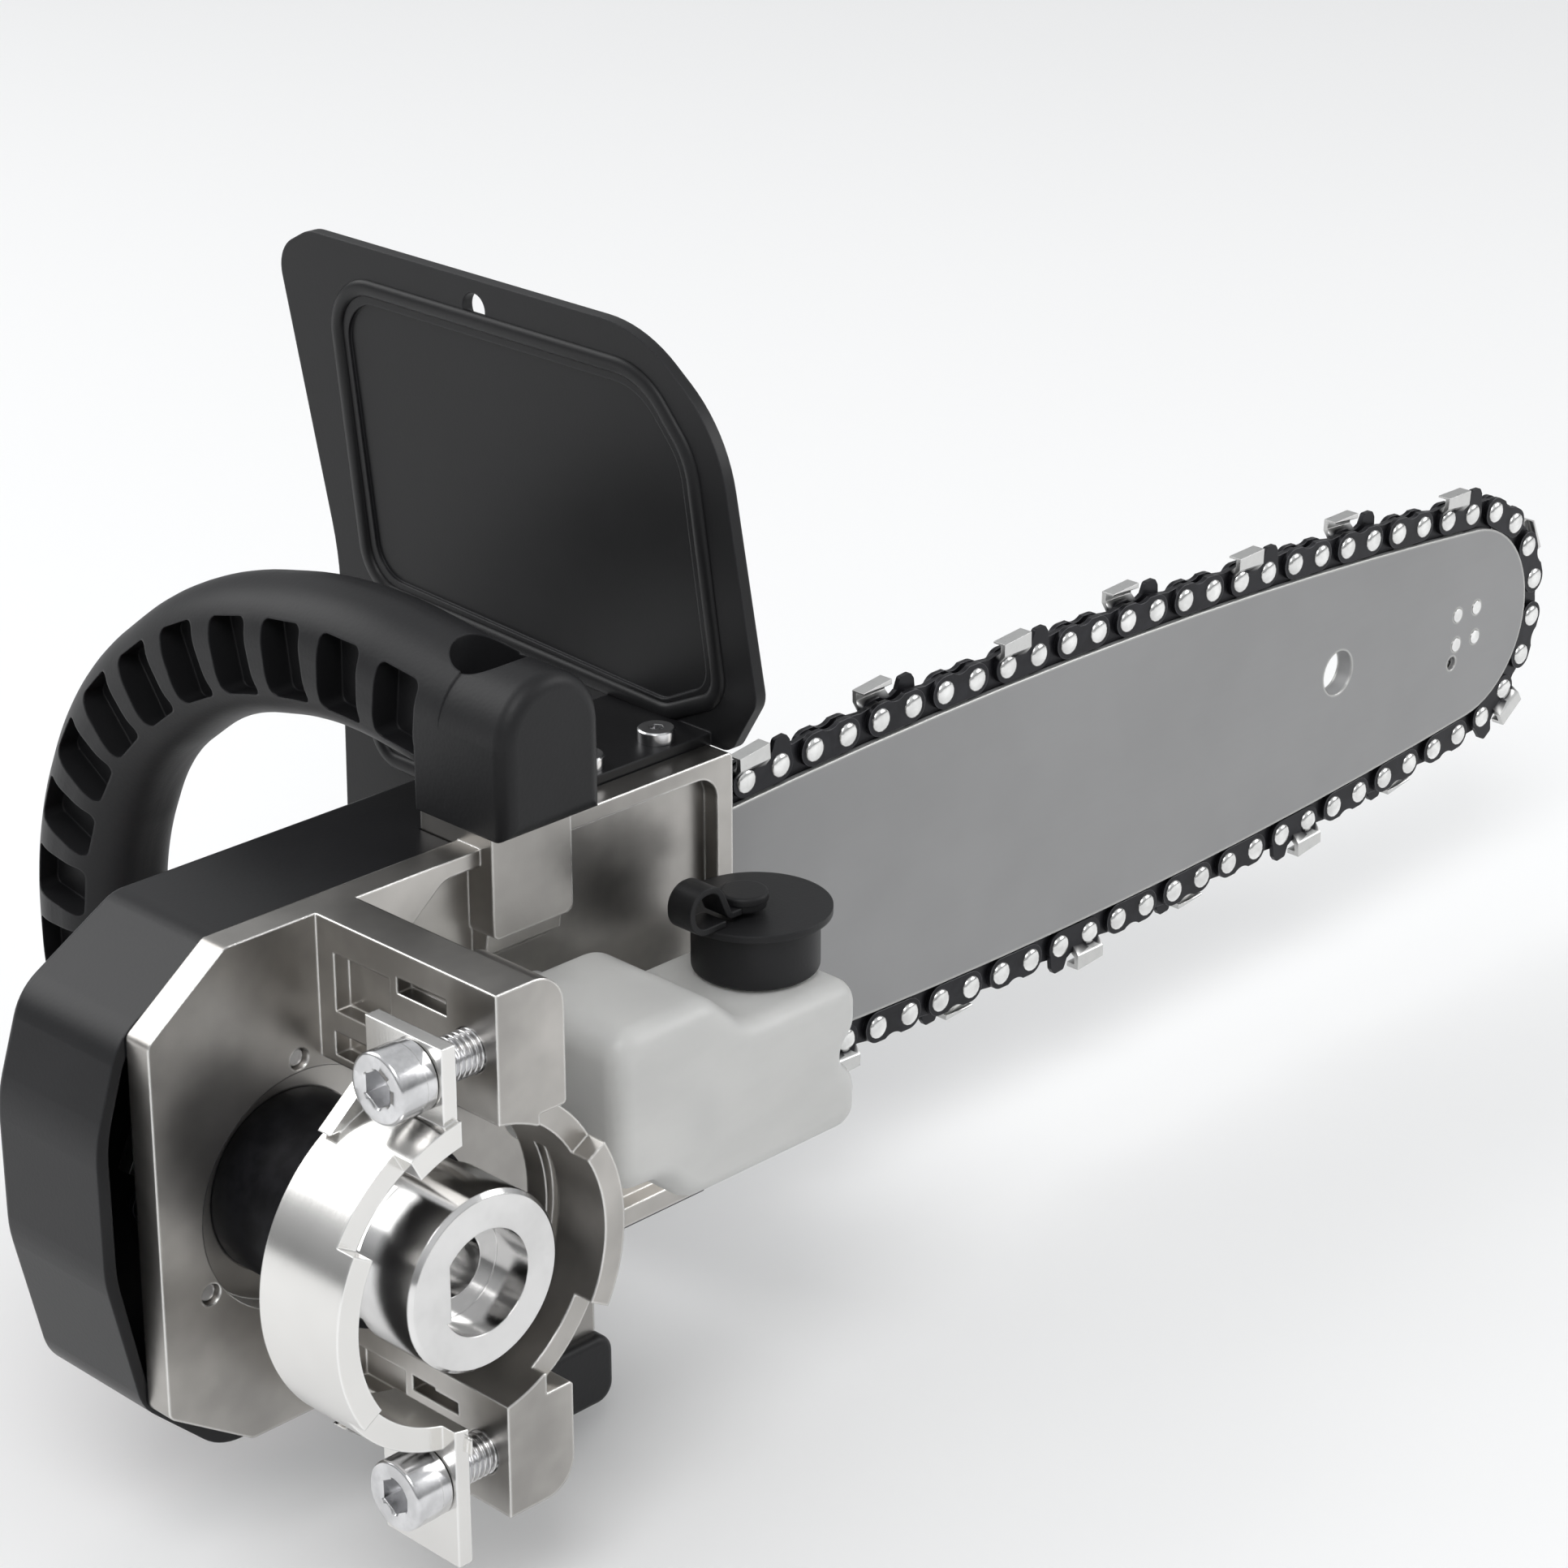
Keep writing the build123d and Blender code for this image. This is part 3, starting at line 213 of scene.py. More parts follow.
def show(name, mesh, body, slot, crease, replaces=()):
    """Put a mesh in the scene as a piece that rides on a body, sharp where it turns more than crease."""
    piece = bpy.data.objects.new(name, mesh)
    bpy.context.scene.collection.objects.link(piece)
    mesh.materials.clear()
    mesh.materials.append(finish(slot))
    mesh.shade_smooth()
    mesh.set_sharp_from_angle(angle=math.radians(crease))
    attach(piece, body)
    if replaces:
        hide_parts(*replaces)


def across(axis):
    """Two unit vectors square to an axis, which with it make a right-handed set."""
    axis = np.asarray(axis, float) / np.linalg.norm(axis)
    side = np.cross(axis, X if abs(axis[0]) < 0.9 else Z)
    side /= np.linalg.norm(side)
    return side, np.cross(axis, side)


def turned(centre, axis, heights, radii, sides=64):
    """Surface of revolution: centre + axis h + r (cos a side + sin a up).

    heights has one value for each ring; radii has one for each ring, or one for each ring and angle,
    so that a ring may be a hexagon, a lobed outline or part of a thread.
    """
    axis = np.asarray(axis, float)
    side, up = across(axis)
    heights = np.asarray(heights, float)
    radii = np.asarray(radii, float)
    if radii.ndim == 1:
        radii = np.repeat(radii[:, None], sides, axis=1)
    angle = np.arange(radii.shape[1]) * TURN / radii.shape[1]
    spokes = np.cos(angle)[:, None] * side + np.sin(angle)[:, None] * up
    points = np.asarray(centre) + heights[:, None, None] * axis + radii[..., None] * spokes
    return points, grid_faces(*radii.shape, wrap_columns=True)


def hexagon(flat_radius, sides):
    """Radius of a hexagon at evenly spaced angles: the flat's distance over the cosine to its middle."""
    angle = np.arange(sides) * TURN / sides
    return flat_radius / np.cos((angle + math.pi / 6) % (math.pi / 3) - math.pi / 6)


def carried(path, profile, closed, up):
    """A flat profile carried along a path: P + a side + b normal, side and normal square to the path.

    A path that isn't closed gets a fan of triangles round each end's middle.
    """
    if closed:
        along = np.roll(path, -1, 0) - np.roll(path, 1, 0)
    else:
        along = np.gradient(path, axis=0)
    along /= np.linalg.norm(along, axis=1)[:, None]
    side = np.cross(along, up)
    side /= np.linalg.norm(side, axis=1)[:, None]
    normal = np.cross(side, along)
    points = path[:, None] + profile[:, 0, None] * side[:, None] + profile[:, 1, None] * normal[:, None]
    faces = grid_faces(len(path), len(profile), wrap_rows=closed, wrap_columns=True)
    if closed:
        return points, faces
    points = np.vstack([points.reshape(-1, 3), path[0], path[-1]])
    count, last = len(profile), (len(path) - 1) * len(profile)
    ring = np.arange(count)
    following = (ring + 1) % count
    first = np.stack([np.full(count, last + count), following, ring], -1)
    final = np.stack([np.full(count, last + count + 1), last + ring, last + following], -1)
    return points, faces + first.tolist() + final.tolist()


def soft_outline(corners, step):
    """Closed outline of a polygon, from rows of two places and a round's radius in mm.

    Each corner becomes an arc whose centre is on the line that halves the corner.
    """
    corners = np.array(corners) * MM
    points, radii, count = corners[:, :2], corners[:, 2], len(corners)
    outline = []
    for n in range(count):
        here = points[n]
        before, after = points[n - 1] - here, points[(n + 1) % count] - here
        reach_limit = 0.49 * min(np.linalg.norm(before), np.linalg.norm(after))
        before, after = before / np.linalg.norm(before), after / np.linalg.norm(after)
        half = math.acos(np.clip(before @ after, -1, 1)) / 2
        reach = min(radii[n] / math.tan(half), reach_limit)
        radius = reach * math.tan(half)
        centre = here + (before + after) / np.linalg.norm(before + after) * math.hypot(reach, radius)
        start, end = here + before * reach - centre, here + after * reach - centre
        sweep = math.pi - 2 * half
        turn = np.sign(start[0] * end[1] - start[1] * end[0])
        a = np.linspace(0, sweep * turn, max(3, int(radius * sweep / step) + 2))
        outline.append(centre + np.stack([start[0] * np.cos(a) - start[1] * np.sin(a),
                                          start[0] * np.sin(a) + start[1] * np.cos(a)], -1))
    return np.vstack(outline)


def evenly(outline, count):
    """Points spaced evenly round a closed outline, by its length from the first point."""
    line = np.vstack([outline, outline[:1]])
    reach = np.concatenate([[0], np.cumsum(np.linalg.norm(np.diff(line, axis=0), axis=1))])
    at = np.linspace(0, reach[-1], count, endpoint=False)
    return np.stack([np.interp(at, reach, line[:, k]) for k in range(line.shape[1])], -1)


def cad_copy(node, name):
    """A merged copy of a CAD node's mesh, whose own stays as it is."""
    mesh = frame["nodes"][node].data.copy()
    mesh.name = name
    work = bmesh.new()
    work.from_mesh(mesh)
    bmesh.ops.remove_doubles(work, verts=work.verts, dist=1e-6)
    work.to_mesh(mesh)
    work.free()
    return mesh


def vertices(mesh):
    """Every vertex of a mesh, as rows of x, y, z."""
    points = np.empty(len(mesh.vertices) * 3)
    mesh.vertices.foreach_get("co", points)
    return points.reshape(-1, 3)


# ---------------------------------------------------------------- shader maths

# Places of a Mix node's colour sockets, which share their names with its number and vector sockets
MIX_FIRST, MIX_SECOND, MIX_RESULT = 6, 7, 2


class Field:
    """A number over the surface.  Arithmetic on it adds Math nodes to its tree."""

    def __init__(self, finish, socket):
        self.finish = finish
        self.socket = socket

    def math(self, operation, *values):
        return self.finish.node("ShaderNodeMath", {"operation": operation}, [self, *values])

    def __add__(self, other):
        return self.math("ADD", other)

    def __mul__(self, other):
        return self.math("MULTIPLY", other)

    def __sub__(self, other):
        return self.math("SUBTRACT", other)

    def __rsub__(self, other):
        return self.finish.node("ShaderNodeMath", {"operation": "SUBTRACT"}, [other, self])

    __radd__ = __add__
    __rmul__ = __mul__

    def step(self, low, high):
        """0 below low, 1 above high, smooth between."""
        settings = {"interpolation_type": "SMOOTHSTEP"}
        return self.finish.node("ShaderNodeMapRange", settings, [self, low, high, 0.0, 1.0])


class Finish:
    """A procedural material: one Principled shader and the nodes that feed it."""

    def __init__(self, name, **constants):
        self.material = bpy.data.materials.new(name)
        self.material.use_nodes = True
        self.nodes = self.material.node_tree.nodes
        self.links = self.material.node_tree.links
        self.shader = self.nodes["Principled BSDF"]
        self.coordinates = self.nodes.new("ShaderNodeTexCoord").outputs["Object"]
        for socket, value in constants.items():
            self.shader.inputs[socket.replace("_", " ")].default_value = value

    def node(self, kind, settings, values, output=0):
        """Add a node: its settings first, then its inputs by place or, in a dict, by name."""
        node = self.nodes.new(kind)
        for key, value in settings.items():
            setattr(node, key, value)
        pairs = values.items() if isinstance(values, dict) else enumerate(values)
        for key, value in pairs:
            self.set(node.inputs[key], value)
        return Field(self, node.outputs[output])

    def set(self, socket, value):
        """Link a field or a socket, or set a constant."""
        if isinstance(value, Field):
            value = value.socket
        if isinstance(value, bpy.types.NodeSocket):
            self.links.new(value, socket)
        else:
            socket.default_value = value

    def scaled(self, x, y, z):
        """Object coordinates in metres, each multiplied by its factor."""
        return self.node("ShaderNodeMapping", {}, {"Vector": self.coordinates, "Scale": (x, y, z)})

    def axis(self, letter):
        """One Object coordinate in metres."""
        return self.node("ShaderNodeSeparateXYZ", {}, [self.coordinates], output=letter)

    def noise(self, scale, detail=3.0, rough=0.5, place=None):
        """Noise about 0.5 with features about 1 / scale metres across."""
        values = {"Vector": place or self.coordinates, "Scale": scale, "Detail": detail, "Roughness": rough}
        return self.node("ShaderNodeTexNoise", {}, values)

    def attribute(self, name):
        """A value that the mesh holds at each vertex."""
        return self.node("ShaderNodeAttribute", {"attribute_name": name}, [], output="Fac")

    def edges(self, radius, low=0.02, high=0.25):
        """About 1 on sharp outer edges and 0 on flat faces, from the rounded normal."""
        rounded = self.node("ShaderNodeBevel", {"samples": 4}, {"Radius": radius})
        straight = self.nodes.new("ShaderNodeNewGeometry").outputs["Normal"]
        settings = {"operation": "DOT_PRODUCT"}
        facing = self.node("ShaderNodeVectorMath", settings, [rounded, straight], output="Value")
        return (1 - facing).step(low, high)

    def blend(self, factor, first, second):
        """A colour between two, by a factor that varies."""
        mix = self.nodes.new("ShaderNodeMix")
        mix.data_type = "RGBA"
        self.set(mix.inputs["Factor"], factor)
        for key, value in ((MIX_FIRST, first), (MIX_SECOND, second)):
            self.set(mix.inputs[key], (*value, 1.0) if isinstance(value, tuple) else value)
        return Field(self, mix.outputs[MIX_RESULT])

    def colour(self, value):
        """Feed the base colour."""
        self.feed("Base Color", value)

    def feed(self, name, value):
        """Feed one of the shader's sockets."""
        self.set(self.shader.inputs[name], value)

    def relief(self, height, distance, strength, edge=0.0):
        """Bump by a height from 0 to 1, over a rounded edge."""
        values = {"Height": height, "Distance": distance, "Strength": strength}
        if edge:
            values["Normal"] = self.node("ShaderNodeBevel", {"samples": 4}, {"Radius": edge})
        self.feed("Normal", self.node("ShaderNodeBump", {}, values))


def shade(base, factor):
    """A colour made lighter or darker."""
    return tuple(min(1.0, c * factor) for c in base)


def cast_aluminium(base):
    """Cast and tumbled: soft mottling, a fine grain, and edges painted near white as a highlight."""
    f = Finish("cast_aluminium", Metallic=1.0)
    cloud = f.noise(28, 4, 0.55)
    grain = f.noise(2600, 2, 0.6)
    edge = f.edges(0.9 * MM)
    tone = f.blend(cloud.step(0.3, 0.72), shade(base, 0.72), shade(base, 1.25))
    # Painted highlight: the edges are painted near white.
    f.colour(f.blend(edge, tone, (0.95, 0.94, 0.92)))
    f.feed("Roughness", (0.22 + 0.16 * cloud + 0.05 * grain) - 0.14 * edge)
    f.relief(grain * 0.7 + f.noise(420, 3) * 0.3, 0.03 * MM, 0.5, edge=0.5 * MM)
    return f.material


def polished_aluminium(base):
    """Turned on the drive axis and polished: fine rings round Y, soft smears, edges painted near white as a
    highlight.
    """
    f = Finish("polished_aluminium", Metallic=1.0)
    smear = f.noise(35, 3)
    rings = f.noise(3800, 2, 0.5, f.scaled(0.02, 1, 0.02))
    edge = f.edges(0.8 * MM)
    # Painted highlight: the edges are painted near white.
    f.colour(f.blend(edge, f.blend(smear.step(0.3, 0.7), shade(base, 0.93), base), (0.95, 0.95, 0.94)))
    f.feed("Roughness", 0.11 + 0.10 * smear + 0.07 * rings)
    f.relief(rings, 0.006 * MM, 0.6, edge=0.4 * MM)
    return f.material


def turned_steel(base):
    """Lathe-turned about Y: faint grooves and a slight stain."""
    f = Finish("turned_steel", Metallic=1.0)
    stain = f.noise(60, 4, 0.6)
    radius = f.node("ShaderNodeVectorMath", {"operation": "LENGTH"}, [f.scaled(1, 0, 1)], output="Value")
    grooves = ((radius + f.axis("Y")) * (TURN / (0.22 * MM))).math("SINE")
    f.colour(f.blend(stain.step(0.35, 0.75), base, shade(base, 0.84)))
    f.feed("Roughness", 0.08 + 0.10 * stain + 0.015 * grooves)
    f.relief(grooves, 0.002 * MM, 0.4, edge=0.35 * MM)
    return f.material


def bright_zinc(base, name="bright_zinc"):
    """Zinc plate: bright with a faint cloud, its edges painted near white as a highlight."""
    f = Finish(name, Metallic=1.0)
    cloud = f.noise(180, 4, 0.6)
    edge = f.edges(0.5 * MM)
    tone = f.blend(cloud.step(0.35, 0.7), shade(base, 0.85), shade(base, 1.1))
    # Painted highlight: the edges are painted near white.
    f.colour(f.blend(edge, tone, (0.92, 0.92, 0.92)))
    f.feed("Roughness", 0.12 + 0.14 * cloud)
    f.relief(f.noise(2200, 2), 0.006 * MM, 0.5, edge=0.25 * MM)
    return f.material


def moulded_black(name, base, rough, grain_depth, grain_scale, edge_highlight=2.2):
    """Moulded black plastic: a fine spark-eroded grain, its edges painted lighter as a highlight."""
    f = Finish(name, Specular_IOR_Level=0.28)
    cloud = f.noise(22, 4, 0.6)
    grain = f.node("ShaderNodeTexVoronoi", {"feature": "SMOOTH_F1"},
                   {"Vector": f.coordinates, "Scale": grain_scale, "Smoothness": 0.6})
    edge = f.edges(0.8 * MM)
    tone = f.blend(cloud.step(0.3, 0.75), shade(base, 0.8), shade(base, 1.25))
    # Painted highlight: the edges are painted a lighter black.
    f.colour(f.blend(edge, tone, shade(base, edge_highlight)))
    f.feed("Roughness", rough + 0.12 * (cloud - 0.5) - 0.06 * edge)
    f.relief(grain * 0.8 + f.noise(grain_scale * 0.3, 2) * 0.2, grain_depth, 0.7, edge=0.5 * MM)
    return f.material


def milky_plastic(base):
    """Blow-moulded polyethylene: light passes into it, with a faint flow and a waxy sheen."""
    f = Finish("milky_plastic", Transmission_Weight=0.42, IOR=1.46, Subsurface_Weight=0.25,
               Subsurface_Radius=(0.006, 0.006, 0.006), Subsurface_Scale=1.0)
    flow = f.noise(26, 4, 0.6, f.scaled(1, 1, 2.5))
    f.colour(f.blend(flow.step(0.3, 0.7), shade(base, 0.93), base))
    f.feed("Roughness", 0.34 + 0.12 * flow)
    f.relief(f.noise(700, 3), 0.02 * MM, 0.35)
    return f.material


def glossy_orange(base):
    """Orange moulded plastic, mottled at random, its edges painted a lighter orange as a highlight."""
    f = Finish("glossy_orange", Subsurface_Weight=0.15, Subsurface_Radius=(0.004, 0.0015, 0.0005))
    cloud = f.noise(60, 3)
    edge = f.edges(0.7 * MM)
    # Painted highlight: the edges are painted a lighter orange.
    f.colour(f.blend(edge, f.blend(cloud.step(0.3, 0.7), shade(base, 0.85), base), (0.95, 0.16, 0.03)))
    f.feed("Roughness", 0.26 + 0.12 * cloud)
    f.relief(f.noise(1500, 2), 0.01 * MM, 0.4, edge=0.5 * MM)
    return f.material


def black_oxide(base, name="black_oxide", rough=0.26):
    """Oiled black steel: deep black, patches of oil, its edges painted a lighter grey as a highlight."""
    f = Finish(name, Metallic=0.65)
    patch = f.noise(240, 4, 0.6)
    edge = f.edges(0.35 * MM, 0.05, 0.4)
    # Painted highlight: the edges are painted a lighter grey.
    f.colour(f.blend(edge, f.blend(patch.step(0.35, 0.7), base, shade(base, 2.0)), (0.16, 0.16, 0.17)))
    f.feed("Roughness", rough + 0.22 * patch)
    f.relief(f.noise(3000, 2), 0.008 * MM, 0.5, edge=0.2 * MM)
    return f.material


def bar_lacquer(base, metal):
    """Grey lacquer with long brush marks, worn to bare steel along the rails."""
    f = Finish("bar_lacquer")
    brush = f.noise(900, 3, 0.6, f.scaled(0.02, 1, 1))
    cloud = f.noise(14, 4, 0.6)
    worn = f.edges(1.1 * MM, 0.01, 0.12)
    tone = f.blend(cloud.step(0.3, 0.7), shade(base, 0.94), shade(base, 1.05))
    f.colour(f.blend(worn, tone, metal))
    f.feed("Metallic", 0.1 + 0.85 * worn)
    f.feed("Roughness", 0.42 + 0.10 * brush - 0.15 * worn)
    f.relief(brush, 0.006 * MM, 0.5, edge=0.5 * MM)
    return f.material


def cutter_steel(base, black):
    """Black side plates with chrome on the top plate, where the attribute plate is 1."""
    f = Finish("cutter_steel")
    plate = f.attribute("plate")
    scuff = f.noise(500, 4, 0.6)
    f.colour(f.blend(plate, f.blend(scuff, black, shade(black, 2.0)), f.blend(scuff, shade(base, 0.8), base)))
    f.feed("Metallic", 0.65 + 0.35 * plate)
    f.feed("Roughness", 0.30 - 0.08 * plate + 0.16 * scuff)
    f.relief(scuff, 0.01 * MM, 0.5, edge=0.2 * MM)
    return f.material


def rubber(base):
    """Dull black rubber with a fine grain."""
    f = Finish("seal_rubber", Roughness=0.7)
    cloud = f.noise(90, 4)
    f.colour(f.blend(cloud, shade(base, 0.7), shade(base, 1.5)))
    f.relief(f.noise(1800, 3), 0.03 * MM, 0.6)
    return f.material


def floor_paint(base):
    """Plain pale floor with a barely visible mottling."""
    f = Finish("floor_paint", Roughness=0.6)
    cloud = f.noise(3, 3)
    f.colour(f.blend(cloud, shade(base, 0.985), base))
    return f.material


def make_finishes():
    """Every finish, by the name of its slot in the record."""
    c = bpy.context.scene.saw_colours
    black = tuple(c.black_plastic)
    return {
        "cast_aluminium": cast_aluminium(tuple(c.casting)),
        "clamp_aluminium": polished_aluminium(tuple(c.clamp)),
        "turned_steel": turned_steel(tuple(c.steel)),
        "screw_steel": bright_zinc(tuple(c.zinc), "bright_screws"),
        "zinc_steel": bright_zinc(tuple(c.zinc)),
        "rivet_steel": bright_zinc(tuple(c.rivets), "rivet_heads"),
        "bearing_steel": bright_zinc(tuple(c.bearings), "bearing_races"),
        "brass_screw": bright_zinc(tuple(c.brass), "brass"),
        "cover_plastic": moulded_black("cover_black", black, 0.36, 0.015 * MM, 1500),
        "handle_plastic": moulded_black("handle_black", black, 0.46, 0.03 * MM, 1300, 2.0),
        "guard_plastic": moulded_black("guard_black", shade(black, 0.8), 0.40, 0.012 * MM, 1800, 3.0),
        "cap_plastic": moulded_black("cap_black", shade(black, 0.7), 0.48, 0.02 * MM, 1600),
        "tank_plastic": milky_plastic(tuple(c.tank)),
        "knob_plastic": glossy_orange(tuple(c.knob)),
        "black_steel": black_oxide(tuple(c.chain), "housing_black", 0.34),
        "link_steel": black_oxide(tuple(c.chain), "chain_black"),
        "cutter_chrome": cutter_steel(tuple(c.plating), tuple(c.chain)),
        "bar_steel": bar_lacquer(tuple(c.bar), tuple(c.bare_steel)),
        "seal_rubber": rubber(tuple(c.rubber)),
    }


FINISHES = {}


def finish(slot):
    """The finish of a slot; all are made at the first call."""
    if not FINISHES:
        FINISHES.update(make_finishes())
    return FINISHES[slot]


SLOT_OF = {part["node"]: part["material_slot"] for part in frame["record"]["subparts"]}


def rides_on(node):
    """The body that a CAD node moves with."""
    return frame["nodes"][node]["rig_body"]


# ---------------------------------------------------------------- pieces

class SAW_OT_finish_frame(bpy.types.Operator):
    """Give every CAD piece its finish"""

    bl_idname = "saw.finish_frame"
    bl_label = "Finish the CAD pieces"

    def execute(self, context):
        for node, piece in frame["nodes"].items():
            piece.data.materials.clear()
            piece.data.materials.append(finish(SLOT_OF[node]))
        return {"FINISHED"}


class SAW_OT_clamp_screws(bpy.types.Operator):
    """Cut a thread and a socket into each clamp screw"""

    bl_idname = "saw.clamp_screws"
    bl_label = "Clamp screws"

    def execute(self, context):
        sizes = context.scene.saw_sizes
        for node in ("upper_clamp_screw", "lower_clamp_screw"):
            name = node.replace("clamp_screw", "threaded_screw")
            mesh = mesh_of(name, [threaded_screw(node, sizes)])
            show(name, mesh, rides_on(node), "screw_steel", 30, [node])
        return {"FINISHED"}


def threaded_screw(node, sizes, sides=72):
    """Cap screw along +X, as rings from the socket's floor, over the head and down the threaded shank.

    The thread is r = R - d w, where w runs from 0 at the crest to 1 at the root as
    (1 + cos(2 pi (x / pitch) + a)) / 2, flattened a little at both.
    """
    low, high = low_high(node)
    total, wide, _ = high - low
    _, y, z = middle(node)
    head, shank, socket_depth = 8.0 * MM, 4.0 * MM, 4.4 * MM
    mouth_chamfer, rim_round = 0.35 * MM, 0.75 * MM
    band, band_start, band_end = wide / 2 - 0.12 * MM, head - 2.3 * MM, head - 0.25 * MM

    def ring(radius):
        return np.full(sides, radius)

    flat = hexagon(sizes.socket_across / 2, sides)
    rings = [(socket_depth, ring(0)), (socket_depth, flat), (mouth_chamfer, flat)]
    rings += [(0.0, ring(flat.max() + 0.25 * MM)), (0.0, ring(wide / 2 - rim_round))]
    rings += [(rim_round * (1 - math.sin(a)), ring(wide / 2 - rim_round * (1 - math.cos(a))))
              for a in np.linspace(math.pi / 2, 0, 6)]
    rings += [(band_start - 0.1 * MM, ring(wide / 2)), (band_start, ring(band)), (band_end, ring(band))]
    rings += [(head, ring(wide / 2 - 0.4 * MM)), (head, ring(shank))]

    reach, depth = total - head, sizes.thread_depth
    at = np.linspace(0, reach, int(reach / sizes.thread_pitch * 12))
    angle = np.arange(sides) * TURN / sides
    wave = (1 + np.cos(TURN * at[:, None] / sizes.thread_pitch + angle)) / 2
    wave = np.clip(1.25 * wave - 0.125, 0, 1)
    fade = np.clip((reach - at) / (1.2 * MM), 0, 1)[:, None]
    rings += list(zip(head + at, shank - depth * (1 - fade) - depth * wave * fade))
    rings += [(total, ring(0))]
    return turned((low[0], y, z), X, [h for h, _ in rings], np.stack([r for _, r in rings]))


def clusters(points, reach):
    """Centres of groups of points that lie within reach of each other."""
    left, centres = points, []
    while len(left):
        near = np.linalg.norm(left - left[0], axis=1) < reach
        centres.append((left[near].min(0) + left[near].max(0)) / 2)
        left = left[~near]
    return np.array(centres)


def rivet_centres():
    """Centre line of each chain rivet, in order round the chain, as (x, z)."""
    points = vertices(frame["nodes"]["chain_rivets"].data)
    outer = points[points[:, 1] > points[:, 1].max() - 0.05 * MM]
    centres = clusters(outer[:, [0, 2]], 6 * MM)
    order = [int(np.argmin(centres[:, 0]))]
    left = set(range(len(centres))) - set(order)
    while left:
        rest = np.array(sorted(left))
        order.append(int(rest[np.argmin(np.linalg.norm(centres[rest] - centres[order[-1]], axis=1))]))
        left.remove(order[-1])
    return centres[order]


class SAW_OT_chain_rivets(bpy.types.Operator):
    """Peen the chain's rivets into domes"""

    bl_idname = "saw.chain_rivets"
    bl_label = "Chain rivets"

    def execute(self, context):
        sizes = context.scene.saw_sizes
        low, high = low_high("chain_rivets")
        rim = (high[1] - low[1]) / 2 - 0.5 * MM
        a = np.linspace(0, math.pi / 2, 5)
        rise, spread = rim + sizes.rivet_dome * np.cos(a), sizes.rivet_radius * np.sin(a)
        heights = np.concatenate([-rise, rise[::-1]])
        radii = np.concatenate([spread, spread[::-1]])
        parts = [turned((x, BAR_Y, z), Y, heights, radii, 14) for x, z in rivet_centres()]
        show("domed_rivets", mesh_of("domed_rivets", parts), "bar", "rivet_steel", 50, ["chain_rivets"])
        return {"FINISHED"}


class SAW_OT_cutters(bpy.types.Operator):
    """Plate the cutters' top plates"""

    bl_idname = "saw.cutters"
    bl_label = "Cutters"

    def execute(self, context):
        centres = rivet_centres()
        for node in ("cutters_left", "cutters_right"):
            mesh = cad_copy(node, "plated_" + node)
            mark_plates(mesh, centres)
            show("plated_" + node, mesh, "bar", "cutter_chrome", 25, [node])
        return {"FINISHED"}


def mark_plates(mesh, centres):
    """Attribute plate: 1 on the top plate and 0 on the side plate below it.

    Height is a vertex's distance in X and Z to the nearest run between two rivets.  Where it is more than
    the side plate's, the vertex is chrome if it lies outside the side plate or near the bar's middle.
    """
    plate_height, outside, near_middle = 2.6 * MM, 1.9 * MM, 0.6 * MM
    points = vertices(mesh)
    flat = points[:, [0, 2]]
    run = np.roll(centres, -1, 0) - centres
    share = ((flat[:, None] - centres) * run).sum(-1) / (run ** 2).sum(-1)
    foot = centres + np.clip(share, 0, 1)[..., None] * run
    height = np.linalg.norm(flat[:, None] - foot, axis=-1).min(1)
    side = np.abs(points[:, 1] - BAR_Y)
    plate = (height > plate_height) & ((side > outside) | (side < near_middle))
    layer = mesh.attributes.new("plate", "FLOAT", "POINT")
    layer.data.foreach_set("value", plate.astype(np.float32))


class SAW_OT_guard_beads(bpy.types.Operator):
    """Press the stiffening beads into the hand guard"""

    bl_idname = "saw.guard_beads"
    bl_label = "Guard beads"

    def execute(self, context):
        sizes, face = context.scene.saw_sizes, guard_face()
        parts = [bead(line, face, sizes) for line in GUARD_BEADS]
        show("guard_beads", mesh_of("guard_beads", parts), "frame", "guard_plastic", 60)
        return {"FINISHED"}


# Corners of the bead round the sunk panel and of the one round the box below it: Y, Z and round, in mm
GUARD_BEADS = (
    ((149.5, 119.2, 10), (60.6, 119.2, 16), (48.0, 105.4, 16), (40.6, 60.4, 6), (55.0, 53.6, 8),
     (141.0, 57.0, 10)),
    ((140.5, 50.5, 8), (97.0, 49.0, 8), (91.0, 44.0, 8), (90.0, 20.0, 6), (141.0, 20.0, 6)),
)


def guard_face():
    """X of the guard plate's face on the handle's side, well above its foot."""
    points = vertices(frame["nodes"]["hand_guard"].data)
    upper = points[points[:, 2] > middle("hand_guard")[2] + 40 * MM]
    return upper[:, 0].min()


def bead(corners, face, sizes):
    """Half an ellipse carried round a line on the plane x = face, its foot sunk in the sheet."""
    line = evenly(soft_outline(corners, 0.6 * MM), 220)
    path = np.column_stack([np.full(len(line), face), line])
    a = np.linspace(0, math.pi, 9)
    wide, high, sunk = sizes.bead_width / 2, sizes.bead_height, 0.6 * MM
    arch = np.column_stack([wide * np.cos(a), high * np.sin(a)])
    return carried(path, np.vstack([arch, (-wide, -sunk), (wide, -sunk)]), closed=True, up=-X)


